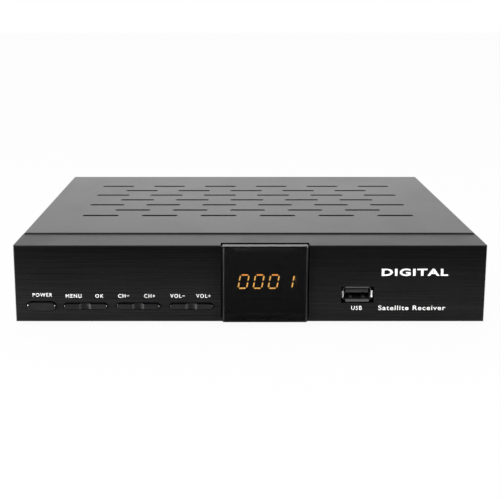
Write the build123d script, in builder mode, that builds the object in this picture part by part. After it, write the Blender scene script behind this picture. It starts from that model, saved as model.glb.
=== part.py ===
from build123d import *

import os
from math import sqrt

# Satellite television receiver: a flat steel case with a moulded front, as an assembly of pieces.
#
# Units are millimetres. X runs along the front from left to right, Y from the front to the rear and
# Z up. The origin lies under the middle of the whole object, on the plane that its feet stand on.

os.makedirs("parts", exist_ok=True)

# --------------------------------------------------------------------------------------------------
# Driving dimensions
# --------------------------------------------------------------------------------------------------

# Case
case_width = 220.0  # the front and the cover have the same width
case_depth = 155.6  # from the front face to the rear face of the cover's lip
front_height = 37.0  # from the lower edge of the front to its top face
sheet = 0.6  # steel of the cover and the tray
bend_radius = 1.2  # outside radius of the cover's folds
sheet_gap = 0.2  # between the cover's sides and the tray's
rear_wall_drop = 0.5  # from the cover's underside to the top of the tray's rear wall
seam_gap = 0.3  # between the moulded front and the sheet metal behind it

# Rubber feet
foot_height = 3.0
foot_radius = 7.0
foot_chamfer = 0.6
foot_inset_x = 25.0  # from the case's side to a foot's middle
foot_front_depth = 36.0  # from the front face to the front feet
foot_rear_inset = 26.0  # from the rear face to the rear feet

# Ventilation slots in the cover: rows of six and of five by turns
slot_length = 19.0
slot_width = 2.8
slot_pitch = 31.0
slot_row_pitch = 12.0
slot_rows = 7
slots_in_long_row = 6
slots_rear_inset = 29.6  # from the cover's rear face to the middle of the last row

# Moulded front
bezel_depth = 19.9
bezel_wall = 2.0
bezel_edge = 0.35  # broken edge round the front face
tongue_length = 7.0  # ledge under the cover's front edge
tongue_thickness = 1.6
tongue_side_gap = 2.0
hook_width = 10.0
hook_thickness = 1.5
hook_barb = 1.2
hook_reach = 4.0
hook_rise = 1.2  # from the lower edge of the front to a hook's underside
hook_slot_gap = 0.3
hook_pitch = 70.0

# Display window, a hollow block that stands proud of the front
window_width = 39.6
window_inset = 117.0  # from the case's left side to the middle of the window
window_proud = 2.0
window_side_gap = 0.9
window_lift = 0.3  # from the lower edge of the front to the window's lower edge
window_bevel = 0.8  # of its upright edges
window_brow_height = 1.3  # of the slope along its upper edge
window_brow_depth = 0.5
window_edge = 0.25
window_wall = 2.0
window_rim = 4.0  # depth of the block in front of its flange
flange_depth = 2.6
flange_gap = 0.1
flange_drop = 0.8  # from the top of the block to the top of its flange
peg_radius = 1.0
peg_gap = 0.1
peg_length = 2.6
peg_inset = 2.6  # from the block's side to a peg's middle
peg_end_inset = 3.6  # from the flange's end to a peg's middle

# Keys
key_height = 7.6  # middle of the keys above the lower edge of the front
key_proud = 1.0
key_gap = 0.5  # all round a key in its cut-out
key_edge = 0.25
power_inset = 12.2  # from the case's left side to the middle of the power key
power_width = 13.0
power_thickness = 4.0
power_travel = 0.3
rocker_width = 19.9
rocker_thickness = 2.6
rocker_pitch = 24.8
rocker_inset = 32.9  # from the case's left side to the middle of the first rocker
saddle_width = 5.4
saddle_depth = 1.1
key_flange = 1.2  # how far a key's flange stands out round it, and how thick it is
flange_clearance = 0.6  # behind the front wall, so that a rocker's flange can tilt
power_flange_clearance = 0.2
pivot_radius = 0.65
pivot_clearance = 0.05
guide_gap = 0.4
guide_wall = 1.3
guide_depth = 3.8
stem_width = 2.4
stem_thickness = 2.0
switch_gap = 0.1  # left between a rocker's stem and its switch at the end of the stroke
rocker_stroke = 0.27  # of a stem at the switch

# Push switches
switch_spacing = 12.4  # between the two switches of one rocker
switch_side = 6.0
switch_body = 3.5
plunger_radius = 1.75
plunger_length = 1.5  # outside the switch
plunger_engagement = 1.2  # inside it
plunger_clearance = 0.1
plunger_gap = 0.05  # between the power key's stem and its switch

# Front board
board = 1.6  # thickness of both circuit boards
front_board_depth = 14.5  # from the front face to the board's front side
front_board_inset = 4.0  # from the case's left side to the board
front_board_past_usb = 15.6  # from the middle of the data socket to the board's right end
front_board_lift = 3.2  # from the lower edge of the front to the board
front_board_height = 30.4
boss_radius = 3.0
boss_drop = 7.0  # from the front's top face to the upper bosses
boss_rise = 6.5  # from its lower edge to the lower one
boss_inset = 5.0  # from the board's left end to the first boss
boss_past_volume = 2.5  # from the middle of the volume rocker to the second
boss_before_usb = 14.4  # from the last two to the middle of the data socket

# Display module and its opening
display_offset = 0.6  # from the middle of the window to the middle of the digits
display_height_up = 17.1  # middle of the digits above the lower edge of the front
display_width = 30.2
display_thickness = 7.2
display_height = 14.0
display_margin = 0.6

# Remote-control receiver
sensor_width = 5.6
sensor_height = 6.8
sensor_thickness = 4.2
sensor_dome = 1.6  # radius of the lens on its face
sensor_offset = 10.5  # from the middle of the window
sensor_up = 29.4
sensor_hole_radius = 3.0

# Front data socket
usb_inset = 160.4  # from the case's left side to the middle of the socket
usb_up = 13.1
usb_width = 13.1
usb_height = 5.7
usb_sheet = 0.3
usb_flare = 0.7  # how far the four lips spread
usb_lip = 0.8  # depth of the lips
usb_side_lip = 3.4  # length of the lip on either side
usb_long_lip = 11.0  # and of the ones above and below
usb_recess = 0.9  # from the front face to the mouth
usb_cutout_gap = 0.45
usb_tongue_width = 11.1
usb_tongue_thickness = 1.84
usb_tongue_edge = 0.38
usb_tongue_up = 0.85
usb_tongue_recess = 2.1
usb_base = 3.0
usb_contact_width = 1.0
usb_contact_thickness = 0.15
usb_contact_pitch = 2.3
usb_contact_recess = 0.8

# Tray
flange_height = 15.0  # the tray's side flanges
front_flange_height = 10.0
standoff_height = 5.0
standoff_top_radius = 3.6
standoff_foot_radius = 5.6
floor_slot_length = 22.0
floor_slot_width = 3.0
floor_slot_pitch_x = 30.0
floor_slot_pitch_y = 14.0
floor_slots_x = 4
floor_slots_y = 3
floor_slots_depth = 96.0  # from the front face to the middle of the group

# Cover fastening
lip_height = 3.6  # of the cover's rear fold
tab_height = 8.0  # where a rear screw holds it
tab_width = 14.0
tab_corner = 2.0
lip_gap = 0.1
side_screw_up = 9.0
side_screw_front = 45.0  # from the front face
side_screw_rear = 30.0  # from the rear face
rear_screw_inset = 15.0  # from the case's sides to the outer rear screws
rear_screw_down = 4.8  # from the cover's top face

# Screws
head_radius = 2.7
head_height = 1.7
head_bevel = 0.6
shank_radius = 1.4
thread_clearance = 0.1
shank_length = 5.0
recess_width = 0.7
recess_length = 3.0
recess_depth = 0.9

# Main board
main_side_gap = 11.0  # from the case's sides to the board
main_depth = 98.0
main_rear_gap = 0.8  # between the board and the rear wall
hole_inset = 6.0  # from the board's edges to its fixing holes
socket_margin = 11.5  # from the board's sides to the first and the last rear socket

# Tuner and its two aerial connectors
tuner_width = 44.0
tuner_depth = 34.0
tuner_height = 13.5
tuner_lid = 0.4
tuner_lid_skirt = 3.0
connector_spacing = 24.0
connector_up = 7.6  # above the main board
connector_base_radius = 5.3
connector_radius = 4.7
connector_length = 11.0  # outside the rear wall
connector_chamfer = 0.5
connector_bore = 3.3
connector_cup = 2.0
core_hole_radius = 0.6
panel_hole_gap = 0.2
nut_across = 12.7
nut_thickness = 2.2
nut_clearance = 0.05

# Phono sockets, two by two
phono_pitch = 13.6
phono_up = 7.2  # lower row above the main board
phono_body_margin = 6.2
phono_body_depth = 12.0
phono_disc_radius = 5.3
phono_disc_proud = 1.2
phono_barrel_radius = 4.15
phono_barrel_wall = 0.5
phono_barrel_length = 8.5
phono_core_gap = 0.1
phono_hole_radius = 1.7
phono_hole_depth = 10.0

# Digital video socket
video_width = 15.0
video_height = 5.6
video_corner = 2.0
video_sheet = 0.4
video_depth = 11.5
video_proud = 0.8
video_lift = 0.6
video_tongue_width = 11.6
video_tongue_thickness = 1.6
video_tongue_recess = 1.2
video_base = 3.5
video_cutout_gap = 0.4

# Euro television socket
scart_width = 48.0
scart_height = 16.4
scart_depth = 15.0
scart_proud = 0.8
scart_wall = 1.3
scart_trench = 1.5
scart_trench_depth = 11.0
scart_corner = 4.6
scart_corner_rise = 5.2
scart_slot_width = 1.0
scart_slot_height = 3.2
scart_slot_depth = 6.0
scart_slot_pitch = 3.81
scart_slots = 10
scart_row_spacing = 5.6
scart_cutout_gap = 0.3

# Supply socket
supply_width = 9.0
supply_height = 11.0
supply_depth = 14.0
supply_nose_radius = 4.0
supply_hole_radius = 3.1
supply_hole_depth = 9.5
supply_pin_radius = 1.0
supply_pin_recess = 1.2

# Parts on the main board
processor_x = -6.0
processor_depth = 100.0  # from the front face
processor_side = 27.0
processor_thickness = 1.4
sink_side = 30.0
sink_base = 2.0
sink_height = 11.0
sink_fins = 9
sink_fin = 1.0
memory_x = 27.0
memory_width = 10.2
memory_length = 22.2
memory_thickness = 1.1
crystal_x = -30.0
crystal_width = 11.0
crystal_depth = 4.7
crystal_height = 3.5
crystal_edge = 0.5

# Electrolytic capacitors: middle x, depth from the front face, radius, height
capacitors_at = (
    (46.5, 96.0, 5.0, 20.0),
    (-66.0, 112.0, 5.0, 16.0),
    (-80.0, 108.0, 4.0, 12.0),
    (-52.0, 84.0, 4.0, 12.0),
    (60.0, 84.0, 3.15, 11.0),
    (28.0, 72.0, 3.15, 11.0),
)
capacitor_crimp = 0.35
capacitor_crimp_up = 2.4

# Ribbon cable between the two boards
ribbon_x = -30.0
ribbon_width = 20.0
ribbon_thickness = 0.9
ribbon_bend = 6.0
ribbon_up = 21.0  # of its front end above the lower edge of the front
plug_depth = 6.0
plug_height = 5.8
plug_side = 1.6

# --------------------------------------------------------------------------------------------------
# Levels and planes that follow from them
# --------------------------------------------------------------------------------------------------

rear_wall_depth = case_depth - sheet - lip_gap  # front face to the tray's rear face
overall_depth = window_proud + rear_wall_depth + connector_length
front_y = window_proud - overall_depth / 2
rear_y = front_y + rear_wall_depth
half = case_width / 2
window_x = window_inset - half
display_x = window_x + display_offset
sensor_x = window_x + sensor_offset
power_x = power_inset - half
rocker_xs = [rocker_inset + step * rocker_pitch - half for step in (0, 1, 2)]
volume_x = rocker_xs[-1]
usb_x = usb_inset - half
front_board_left = front_board_inset - half
front_board_right = usb_x + front_board_past_usb

base_z = foot_height
top_z = base_z + front_height
floor_z = base_z + sheet
board_z = floor_z + standoff_height
parts_z = board_z + board  # where things stand on the main board
key_z = base_z + key_height
tray_half = half - sheet - sheet_gap
tray_front_y = front_y + bezel_depth + seam_gap

# The rear sockets stand in a row on the main board, with equal gaps between them
main_width = case_width - 2 * main_side_gap
phono_width = phono_pitch + 2 * phono_body_margin
socket_widths = (supply_width, scart_width, video_width, phono_width, tuner_width)
socket_gap = (main_width - 2 * socket_margin - sum(socket_widths)) / (len(socket_widths) - 1)
socket_xs = [
    -main_width / 2 + socket_margin + sum(socket_widths[:i]) + i * socket_gap + width / 2
    for i, width in enumerate(socket_widths)
]
supply_x, scart_x, video_x, phono_x, tuner_x = socket_xs


def upright(depth):
    """A plane that faces the front, `depth` behind the front face: sketches run in X and Z."""
    return Plane.XZ.offset(-(front_y + depth))


def from_rear(depth=0.0):
    """A plane that faces the rear, `depth` inside the tray's rear face: local X is -X."""
    return Plane(origin=(0, rear_y - depth, 0), x_dir=(-1, 0, 0), z_dir=(0, 1, 0))


def finish(builder, label):
    """Labels a finished piece and writes it to its STEP file."""
    builder.part.label = label
    export_step(builder.part, f"parts/{label}.step")


# --------------------------------------------------------------------------------------------------
# Fasteners: one pan-head screw, seat at Z = 0 and shank down
# --------------------------------------------------------------------------------------------------

with BuildPart() as screw:
    Cylinder(head_radius, head_height, align=(Align.CENTER, Align.CENTER, Align.MIN))
    chamfer(screw.edges().group_by(Axis.Z)[-1], head_bevel)
    with BuildSketch(Plane.XY.offset(head_height)):
        Rectangle(recess_length, recess_width)
        Rectangle(recess_width, recess_length)
    extrude(amount=-recess_depth, mode=Mode.SUBTRACT)
    Cylinder(shank_radius, shank_length, align=(Align.CENTER, Align.CENTER, Align.MAX))

# --------------------------------------------------------------------------------------------------
# Case: cover, tray, moulded front and feet
# --------------------------------------------------------------------------------------------------

cover_front_y = front_y + bezel_depth + seam_gap
cover_rear_y = front_y + case_depth
cover_length = cover_rear_y - cover_front_y
cover_height = top_z + sheet - base_z
side_screw_z = base_z + side_screw_up
rear_screw_z = top_z + sheet - rear_screw_down
side_screw_ys = (front_y + side_screw_front, cover_rear_y - side_screw_rear)
rear_screw_xs = (rear_screw_inset - half, 0, half - rear_screw_inset)

with BuildPart() as top_cover:
    with Locations((0, (cover_front_y + cover_rear_y) / 2, base_z)):
        Box(
            case_width,
            cover_length,
            cover_height,
            align=(Align.CENTER, Align.CENTER, Align.MIN),
        )
    top_edges = top_cover.edges().group_by(Axis.Z)[-1]
    fillet(top_edges - top_edges.group_by(Axis.Y)[0], bend_radius)
    offset(
        amount=-sheet,
        openings=[top_cover.faces().sort_by(Axis.Z)[0], top_cover.faces().sort_by(Axis.Y)[0]],
    )
    # below its lip the rear is open, apart from three tabs for the screws
    with Locations((0, cover_rear_y, base_z)):
        Box(
            case_width,
            2 * (sheet + bend_radius),
            cover_height - lip_height,
            align=(Align.CENTER, Align.CENTER, Align.MIN),
            mode=Mode.SUBTRACT,
        )
    with BuildSketch(Plane.XZ.offset(-cover_rear_y)) as tabs:
        for x in rear_screw_xs:
            with Locations((x, top_z + sheet - bend_radius)):
                Rectangle(tab_width, tab_height - bend_radius, align=(Align.CENTER, Align.MAX))
        fillet(tabs.vertices().group_by(Axis.Y)[0], tab_corner)
    extrude(amount=sheet)
    # staggered ventilation slots
    last_row_y = cover_rear_y - slots_rear_inset
    with BuildSketch(Plane.XY.offset(top_z + sheet)):
        for row in range(slot_rows):
            count = slots_in_long_row - row % 2
            with Locations((0, last_row_y - row * slot_row_pitch)):
                with GridLocations(slot_pitch, 1, count, 1):
                    SlotOverall(slot_length, slot_width)
    extrude(amount=-2 * sheet, mode=Mode.SUBTRACT)
    # screw holes in the sides and the lip
    for y in side_screw_ys:
        with Locations(Plane(origin=(half, y, side_screw_z), z_dir=(1, 0, 0))):
            Hole(shank_radius + thread_clearance, 2 * case_width)
    for x in rear_screw_xs:
        with Locations(Plane(origin=(x, cover_rear_y, rear_screw_z), z_dir=(0, 1, 0))):
            Hole(shank_radius + thread_clearance, 2 * sheet)

finish(top_cover, "top_cover")

# Circuit board and its fixings are placed from the rear wall
main_rear_y = rear_y - sheet - main_rear_gap
main_middle_y = main_rear_y - main_depth / 2
main_holes = [
    (sx * (main_width / 2 - hole_inset), main_middle_y + sy * (main_depth / 2 - hole_inset))
    for sx in (-1, 1)
    for sy in (-1, 1)
] + [(0, main_middle_y - main_depth / 2 + hole_inset)]
connector_z = parts_z + connector_up
connector_xs = (tuner_x - connector_spacing / 2, tuner_x + connector_spacing / 2)
phono_places = [
    (phono_x + sx * phono_pitch / 2, parts_z + phono_up + row * phono_pitch)
    for row in (0, 1)
    for sx in (-1, 1)
]
video_z = parts_z + video_lift + video_height / 2
scart_z = parts_z + scart_height / 2
supply_z = parts_z + supply_height / 2
hook_z = base_z + hook_rise
hook_xs = (-hook_pitch, 0, hook_pitch)

with BuildPart() as chassis_tray:
    tray_length = rear_y - tray_front_y
    tray_height = top_z - rear_wall_drop - base_z
    with Locations((0, (tray_front_y + rear_y) / 2, base_z)):
        Box(
            2 * tray_half,
            tray_length,
            tray_height,
            align=(Align.CENTER, Align.CENTER, Align.MIN),
        )
    offset(amount=-sheet, openings=chassis_tray.faces().sort_by(Axis.Z)[-1])
    # the sides are low flanges, and the front one is lower still
    with Locations((0, rear_y - sheet, base_z + flange_height)):
        Box(
            3 * tray_half,
            tray_length,
            tray_height,
            align=(Align.CENTER, Align.MAX, Align.MIN),
            mode=Mode.SUBTRACT,
        )
    with Locations((0, tray_front_y, base_z + front_flange_height)):
        Box(
            2 * tray_half,
            2 * sheet,
            tray_height,
            align=(Align.CENTER, Align.CENTER, Align.MIN),
            mode=Mode.SUBTRACT,
        )
    # slots for the front's hooks
    with BuildSketch(upright(bezel_depth + seam_gap)):
        for x in hook_xs:
            with Locations((x, hook_z + (hook_thickness + hook_barb) / 2)):
                Rectangle(
                    hook_width + 2 * hook_slot_gap,
                    hook_thickness + hook_barb + 2 * hook_slot_gap,
                )
    extrude(amount=-sheet, mode=Mode.SUBTRACT)
    # pressed stand-offs, hollow from below
    for x, y in main_holes:
        cone_at = (x, y, (base_z + board_z) / 2)
        cone_height = board_z - base_z
        with Locations(cone_at):
            Cone(standoff_foot_radius, standoff_top_radius, cone_height)
        with Locations((x, y, (base_z + board_z) / 2 - sheet)):
            Cone(
                standoff_foot_radius - sheet,
                standoff_top_radius - sheet,
                cone_height,
                mode=Mode.SUBTRACT,
            )
        with Locations((x, y, board_z)):
            Hole(shank_radius + thread_clearance, cone_height)
    # ventilation in the floor
    with BuildSketch(Plane.XY.offset(floor_z)):
        with Locations((0, front_y + floor_slots_depth)):
            with GridLocations(floor_slot_pitch_x, floor_slot_pitch_y, floor_slots_x, floor_slots_y):
                SlotOverall(floor_slot_length, floor_slot_width)
    extrude(amount=-sheet, mode=Mode.SUBTRACT)
    # cut-outs in the rear wall
    with BuildSketch(upright(rear_wall_depth)):
        for x in connector_xs:
            with Locations((x, connector_z)):
                Circle(connector_base_radius + panel_hole_gap)
        with Locations(*phono_places):
            Circle(phono_disc_radius + panel_hole_gap)
        with Locations((video_x, video_z)):
            Rectangle(video_width + 2 * video_cutout_gap, video_height + 2 * video_cutout_gap)
        with Locations((scart_x, scart_z)):
            Rectangle(scart_width + 2 * scart_cutout_gap, scart_height + 2 * scart_cutout_gap)
        with Locations((supply_x, supply_z)):
            Circle(supply_nose_radius + panel_hole_gap)
        for x in rear_screw_xs:
            with Locations((x, rear_screw_z)):
                Circle(shank_radius + thread_clearance)
    extrude(amount=sheet, mode=Mode.SUBTRACT)
    for y in side_screw_ys:
        with Locations(Plane(origin=(tray_half, y, side_screw_z), z_dir=(1, 0, 0))):
            Hole(shank_radius + thread_clearance, 2 * case_width)

finish(chassis_tray, "chassis_tray")

# The window sits in a recess that stops at the front's bottom wall, and whose floor lies behind
# the window's flange
recess_depth_y = window_rim - window_proud + flange_depth
recess_width_x = window_width + 2 * window_side_gap
display_z = base_z + display_height_up
sensor_z = base_z + sensor_up
usb_z = base_z + usb_up
boss_places = (
    (front_board_left + boss_inset, top_z - boss_drop),
    (volume_x + boss_past_volume, top_z - boss_drop),
    (usb_x - boss_before_usb, top_z - boss_drop),
    (usb_x - boss_before_usb, base_z + boss_rise),
)
peg_places = [
    (window_x + sx * (window_width / 2 - peg_inset), z)
    for sx in (-1, 1)
    for z in (base_z + bezel_wall + peg_end_inset, top_z - flange_drop - peg_end_inset)
]
pivot_depth = bezel_wall + flange_clearance + key_flange / 2


def pill(length, height, grow=0.0):
    """A key's outline with fully round ends, grown all round."""
    SlotOverall(length + 2 * grow, height + 2 * grow)


with BuildPart() as front_bezel:
    with Locations((0, front_y, base_z)):
        Box(
            case_width,
            bezel_depth,
            front_height,
            align=(Align.CENTER, Align.MIN, Align.MIN),
        )
    chamfer(front_bezel.edges().group_by(Axis.Y)[0], bezel_edge)
    offset(amount=-bezel_wall, openings=front_bezel.faces().sort_by(Axis.Y)[-1])
    # tongue that the cover's front edge lies on
    with Locations((0, front_y + bezel_depth - bezel_wall, top_z)):
        Box(
            2 * (half - sheet - tongue_side_gap),
            tongue_length + bezel_wall,
            tongue_thickness,
            align=(Align.CENTER, Align.MIN, Align.MAX),
        )
    # pocket for the window
    with BuildSketch(upright(0)):
        with Locations((window_x, (base_z + top_z) / 2)):
            Rectangle(recess_width_x + 2 * bezel_wall, front_height - 2 * bezel_edge)
    extrude(amount=-(recess_depth_y + bezel_wall))
    with BuildSketch(upright(0)):
        with Locations((window_x, base_z + bezel_wall)):
            Rectangle(recess_width_x, 2 * front_height, align=(Align.CENTER, Align.MIN))
    extrude(amount=-recess_depth_y, mode=Mode.SUBTRACT)
    with BuildSketch(upright(recess_depth_y)):
        with Locations((display_x, display_z)):
            Rectangle(display_width + 2 * display_margin, display_height + 2 * display_margin)
        with Locations((sensor_x, sensor_z)):
            Circle(sensor_hole_radius)
        with Locations(*peg_places):
            Circle(peg_radius + peg_gap)
    extrude(amount=-bezel_wall, mode=Mode.SUBTRACT)
    # guides round the key flanges; the rockers' trunnions turn in theirs
    for x, width, thickness in [(power_x, power_width, power_thickness)] + [
        (x, rocker_width, rocker_thickness) for x in rocker_xs
    ]:
        with BuildSketch(upright(bezel_wall)):
            with Locations((x, key_z)):
                pill(width, thickness, key_flange + guide_gap + guide_wall)
                SlotOverall(
                    width + 2 * (key_flange + guide_gap),
                    thickness + 2 * (key_flange + guide_gap),
                    mode=Mode.SUBTRACT,
                )
        extrude(amount=-guide_depth)
        with BuildSketch(upright(0)):
            with Locations((x, key_z)):
                pill(width, thickness, key_gap)
        extrude(amount=-bezel_wall, mode=Mode.SUBTRACT)
    guide_outer = rocker_thickness / 2 + key_flange + guide_gap + guide_wall
    for x in rocker_xs:
        with Locations((x, front_y + pivot_depth, key_z)):
            Cylinder(pivot_radius + pivot_clearance, 2 * guide_outer + 1, mode=Mode.SUBTRACT)
    # opening for the data socket
    with BuildSketch(upright(0)):
        with Locations((usb_x, usb_z)):
            Rectangle(
                usb_width + 2 * (usb_flare + usb_cutout_gap),
                usb_height + 2 * (usb_flare + usb_cutout_gap),
            )
    extrude(amount=-bezel_wall, mode=Mode.SUBTRACT)
    # bosses for the front board
    with BuildSketch(upright(bezel_wall)):
        with Locations(*boss_places):
            Circle(boss_radius)
    extrude(amount=-(front_board_depth - bezel_wall))
    with BuildSketch(upright(front_board_depth)):
        with Locations(*boss_places):
            Circle(shank_radius + thread_clearance)
    extrude(amount=shank_length, mode=Mode.SUBTRACT)
    # hooks that catch behind the tray's front flange
    catch_y = tray_front_y + sheet + lip_gap
    for x in hook_xs:
        with BuildSketch(Plane.YZ.offset(x - hook_width / 2)):
            with BuildLine():
                Polyline(
                    (front_y + bezel_depth - 3 * bezel_wall, hook_z),
                    (catch_y + hook_reach, hook_z),
                    (catch_y + hook_reach, hook_z + hook_thickness / 2),
                    (catch_y + hook_thickness / 2, hook_z + hook_thickness + hook_barb),
                    (catch_y, hook_z + hook_thickness + hook_barb),
                    (catch_y, hook_z + hook_thickness),
                    (front_y + bezel_depth - 3 * bezel_wall, hook_z + hook_thickness),
                    close=True,
                )
            make_face()
        extrude(amount=hook_width)

finish(front_bezel, "front_bezel")

with BuildPart() as rubber_feet:
    foot_xs = (-half + foot_inset_x, half - foot_inset_x)
    foot_ys = (front_y + foot_front_depth, cover_rear_y - foot_rear_inset)
    with BuildSketch(Plane.XY):
        with Locations(*[(x, y) for x in foot_xs for y in foot_ys]):
            Circle(foot_radius)
    extrude(amount=foot_height)
    chamfer(rubber_feet.edges().group_by(Axis.Z)[0], foot_chamfer)

finish(rubber_feet, "rubber_feet")

with BuildPart() as cover_screws:
    for side in (-1, 1):
        for y in side_screw_ys:
            with Locations(Plane(origin=(side * half, y, side_screw_z), z_dir=(side, 0, 0))):
                add(screw.part)
    for x in rear_screw_xs:
        with Locations(Plane(origin=(x, cover_rear_y, rear_screw_z), z_dir=(0, 1, 0))):
            add(screw.part)

finish(cover_screws, "cover_screws")

# --------------------------------------------------------------------------------------------------
# Display window
# --------------------------------------------------------------------------------------------------

with BuildPart() as display_window:
    with Locations((window_x, front_y - window_proud, base_z + window_lift)):
        Box(
            window_width,
            window_rim,
            front_height - window_lift,
            align=(Align.CENTER, Align.MIN, Align.MIN),
        )
    front_edges = display_window.edges().group_by(Axis.Y)[0]
    chamfer(front_edges.filter_by(Axis.Z), window_bevel)
    level_edges = display_window.edges().group_by(Axis.Y)[0].filter_by(Axis.X).sort_by(Axis.Z)
    chamfer(
        level_edges[-1],
        window_brow_height,
        window_brow_depth,
        reference=display_window.faces().sort_by(Axis.Y)[0],
    )
    chamfer(level_edges[0], window_edge)
    # what lies inside the recess starts above the front's bottom wall
    sill_z = base_z + bezel_wall + flange_gap
    with Locations((window_x, front_y - flange_gap, base_z)):
        Box(
            window_width,
            window_rim,
            sill_z - base_z,
            align=(Align.CENTER, Align.MIN, Align.MIN),
            mode=Mode.SUBTRACT,
        )
    with Locations((window_x, front_y - window_proud + window_rim, sill_z)):
        Box(
            recess_width_x - 2 * flange_gap,
            flange_depth - flange_gap,
            top_z - flange_drop - sill_z,
            align=(Align.CENTER, Align.MIN, Align.MIN),
        )
    # hollow behind, and open to the rear
    cavity_z = sill_z + bezel_wall
    cavity_height = top_z - flange_drop - bezel_wall - cavity_z
    with BuildSketch(upright(recess_depth_y)):
        with Locations((window_x, cavity_z)):
            Rectangle(
                window_width - 2 * (2 * peg_inset),
                cavity_height,
                align=(Align.CENTER, Align.MIN),
            )
    extrude(amount=window_rim + flange_depth - window_wall, mode=Mode.SUBTRACT)
    with BuildSketch(upright(recess_depth_y - flange_gap)):
        with Locations(*peg_places):
            Circle(peg_radius)
    extrude(amount=-peg_length)

finish(display_window, "display_window")

# --------------------------------------------------------------------------------------------------
# Keys: a sliding power key and three rockers
# --------------------------------------------------------------------------------------------------

switch_face_depth = front_board_depth - switch_body
plunger_depth = switch_face_depth - plunger_length

with BuildPart() as power_button:
    with BuildSketch(upright(-key_proud)):
        with Locations((power_x, key_z)):
            pill(power_width, power_thickness)
    extrude(amount=-(key_proud + bezel_wall + power_flange_clearance))
    chamfer(power_button.edges().group_by(Axis.Y)[0], key_edge)
    with BuildSketch(upright(bezel_wall + power_flange_clearance)):
        with Locations((power_x, key_z)):
            pill(power_width, power_thickness, key_flange)
    extrude(amount=-key_flange)
    with BuildSketch(upright(bezel_wall)):
        with Locations((power_x, key_z)):
            Rectangle(2 * stem_width, stem_thickness)
            Rectangle(stem_thickness, power_thickness)
    extrude(amount=-(plunger_depth - plunger_gap - bezel_wall))

finish(power_button, "power_button")

saddle_radius = saddle_width**2 / (8 * saddle_depth) + saddle_depth / 2
rocker_names = ("menu_rocker", "channel_rocker", "volume_rocker")

for x, name in zip(rocker_xs, rocker_names):
    with BuildPart() as rocker:
        with BuildSketch(upright(-key_proud)):
            with Locations((x, key_z)):
                pill(rocker_width, rocker_thickness)
        extrude(amount=-(key_proud + bezel_wall + flange_clearance))
        chamfer(rocker.edges().group_by(Axis.Y)[0], key_edge)
        # saddle between the two ends
        with Locations((x, front_y - key_proud + saddle_depth - saddle_radius, key_z)):
            Cylinder(saddle_radius, 2 * rocker_thickness, mode=Mode.SUBTRACT)
        with BuildSketch(upright(bezel_wall + flange_clearance)):
            with Locations((x, key_z)):
                pill(rocker_width, rocker_thickness, key_flange)
        extrude(amount=-key_flange)
        # trunnions above and below
        with Locations((x, front_y + pivot_depth, key_z)):
            Cylinder(pivot_radius, 2 * guide_outer - guide_wall / 2)
        with BuildSketch(upright(bezel_wall + flange_clearance)):
            with Locations((x, key_z)):
                with GridLocations(switch_spacing, 1, 2, 1):
                    Rectangle(stem_width, stem_thickness)
        extrude(
            amount=-(
                plunger_depth - rocker_stroke - switch_gap - bezel_wall - flange_clearance
            )
        )
    finish(rocker, name)

# --------------------------------------------------------------------------------------------------
# Front board and what stands on it
# --------------------------------------------------------------------------------------------------

front_board_z = base_z + front_board_lift
rocker_switch_xs = [x + side * switch_spacing / 2 for x in rocker_xs for side in (-1, 1)]

with BuildPart() as front_board:
    with BuildSketch(upright(front_board_depth)):
        with Locations((front_board_left, front_board_z)):
            Rectangle(
                front_board_right - front_board_left,
                front_board_height,
                align=(Align.MIN, Align.MIN),
            )
        with Locations(*boss_places):
            Circle(shank_radius + thread_clearance, mode=Mode.SUBTRACT)
    extrude(amount=-board)

finish(front_board, "front_board")

with BuildPart() as front_board_screws:
    for x, z in boss_places:
        seat = (x, front_y + front_board_depth + board, z)
        with Locations(Plane(origin=seat, z_dir=(0, 1, 0))):
            add(screw.part)

finish(front_board_screws, "front_board_screws")

with BuildPart() as switch_bodies:
    with BuildSketch(upright(front_board_depth)):
        with Locations(*[(x, key_z) for x in (power_x, *rocker_switch_xs)]):
            Rectangle(switch_side, switch_side)
    extrude(amount=switch_body)
    with BuildSketch(upright(switch_face_depth)):
        with Locations(*[(x, key_z) for x in (power_x, *rocker_switch_xs)]):
            Circle(plunger_radius + plunger_clearance)
    extrude(amount=-(plunger_engagement + 2 * power_travel), mode=Mode.SUBTRACT)

finish(switch_bodies, "switch_bodies")

for xs, name in (((power_x,), "power_plunger"), (rocker_switch_xs, "rocker_plungers")):
    with BuildPart() as plungers:
        with BuildSketch(upright(plunger_depth)):
            with Locations(*[(x, key_z) for x in xs]):
                Circle(plunger_radius)
        extrude(amount=-(plunger_length + plunger_engagement))
    finish(plungers, name)

with BuildPart() as display_module:
    with BuildSketch(upright(front_board_depth)):
        with Locations((display_x, display_z)):
            Rectangle(display_width, display_height)
    extrude(amount=display_thickness)

finish(display_module, "display_module")

with BuildPart() as infrared_sensor:
    with BuildSketch(upright(front_board_depth)):
        with Locations((sensor_x, sensor_z)):
            Rectangle(sensor_width, sensor_height)
    extrude(amount=sensor_thickness)
    with Locations((sensor_x, front_y + front_board_depth - sensor_thickness, sensor_z)):
        Sphere(sensor_dome)

finish(infrared_sensor, "infrared_sensor")

# --------------------------------------------------------------------------------------------------
# Front data socket: folded shell with four flared lips, tongue and contacts
# --------------------------------------------------------------------------------------------------

usb_length = front_board_depth - usb_recess

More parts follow.
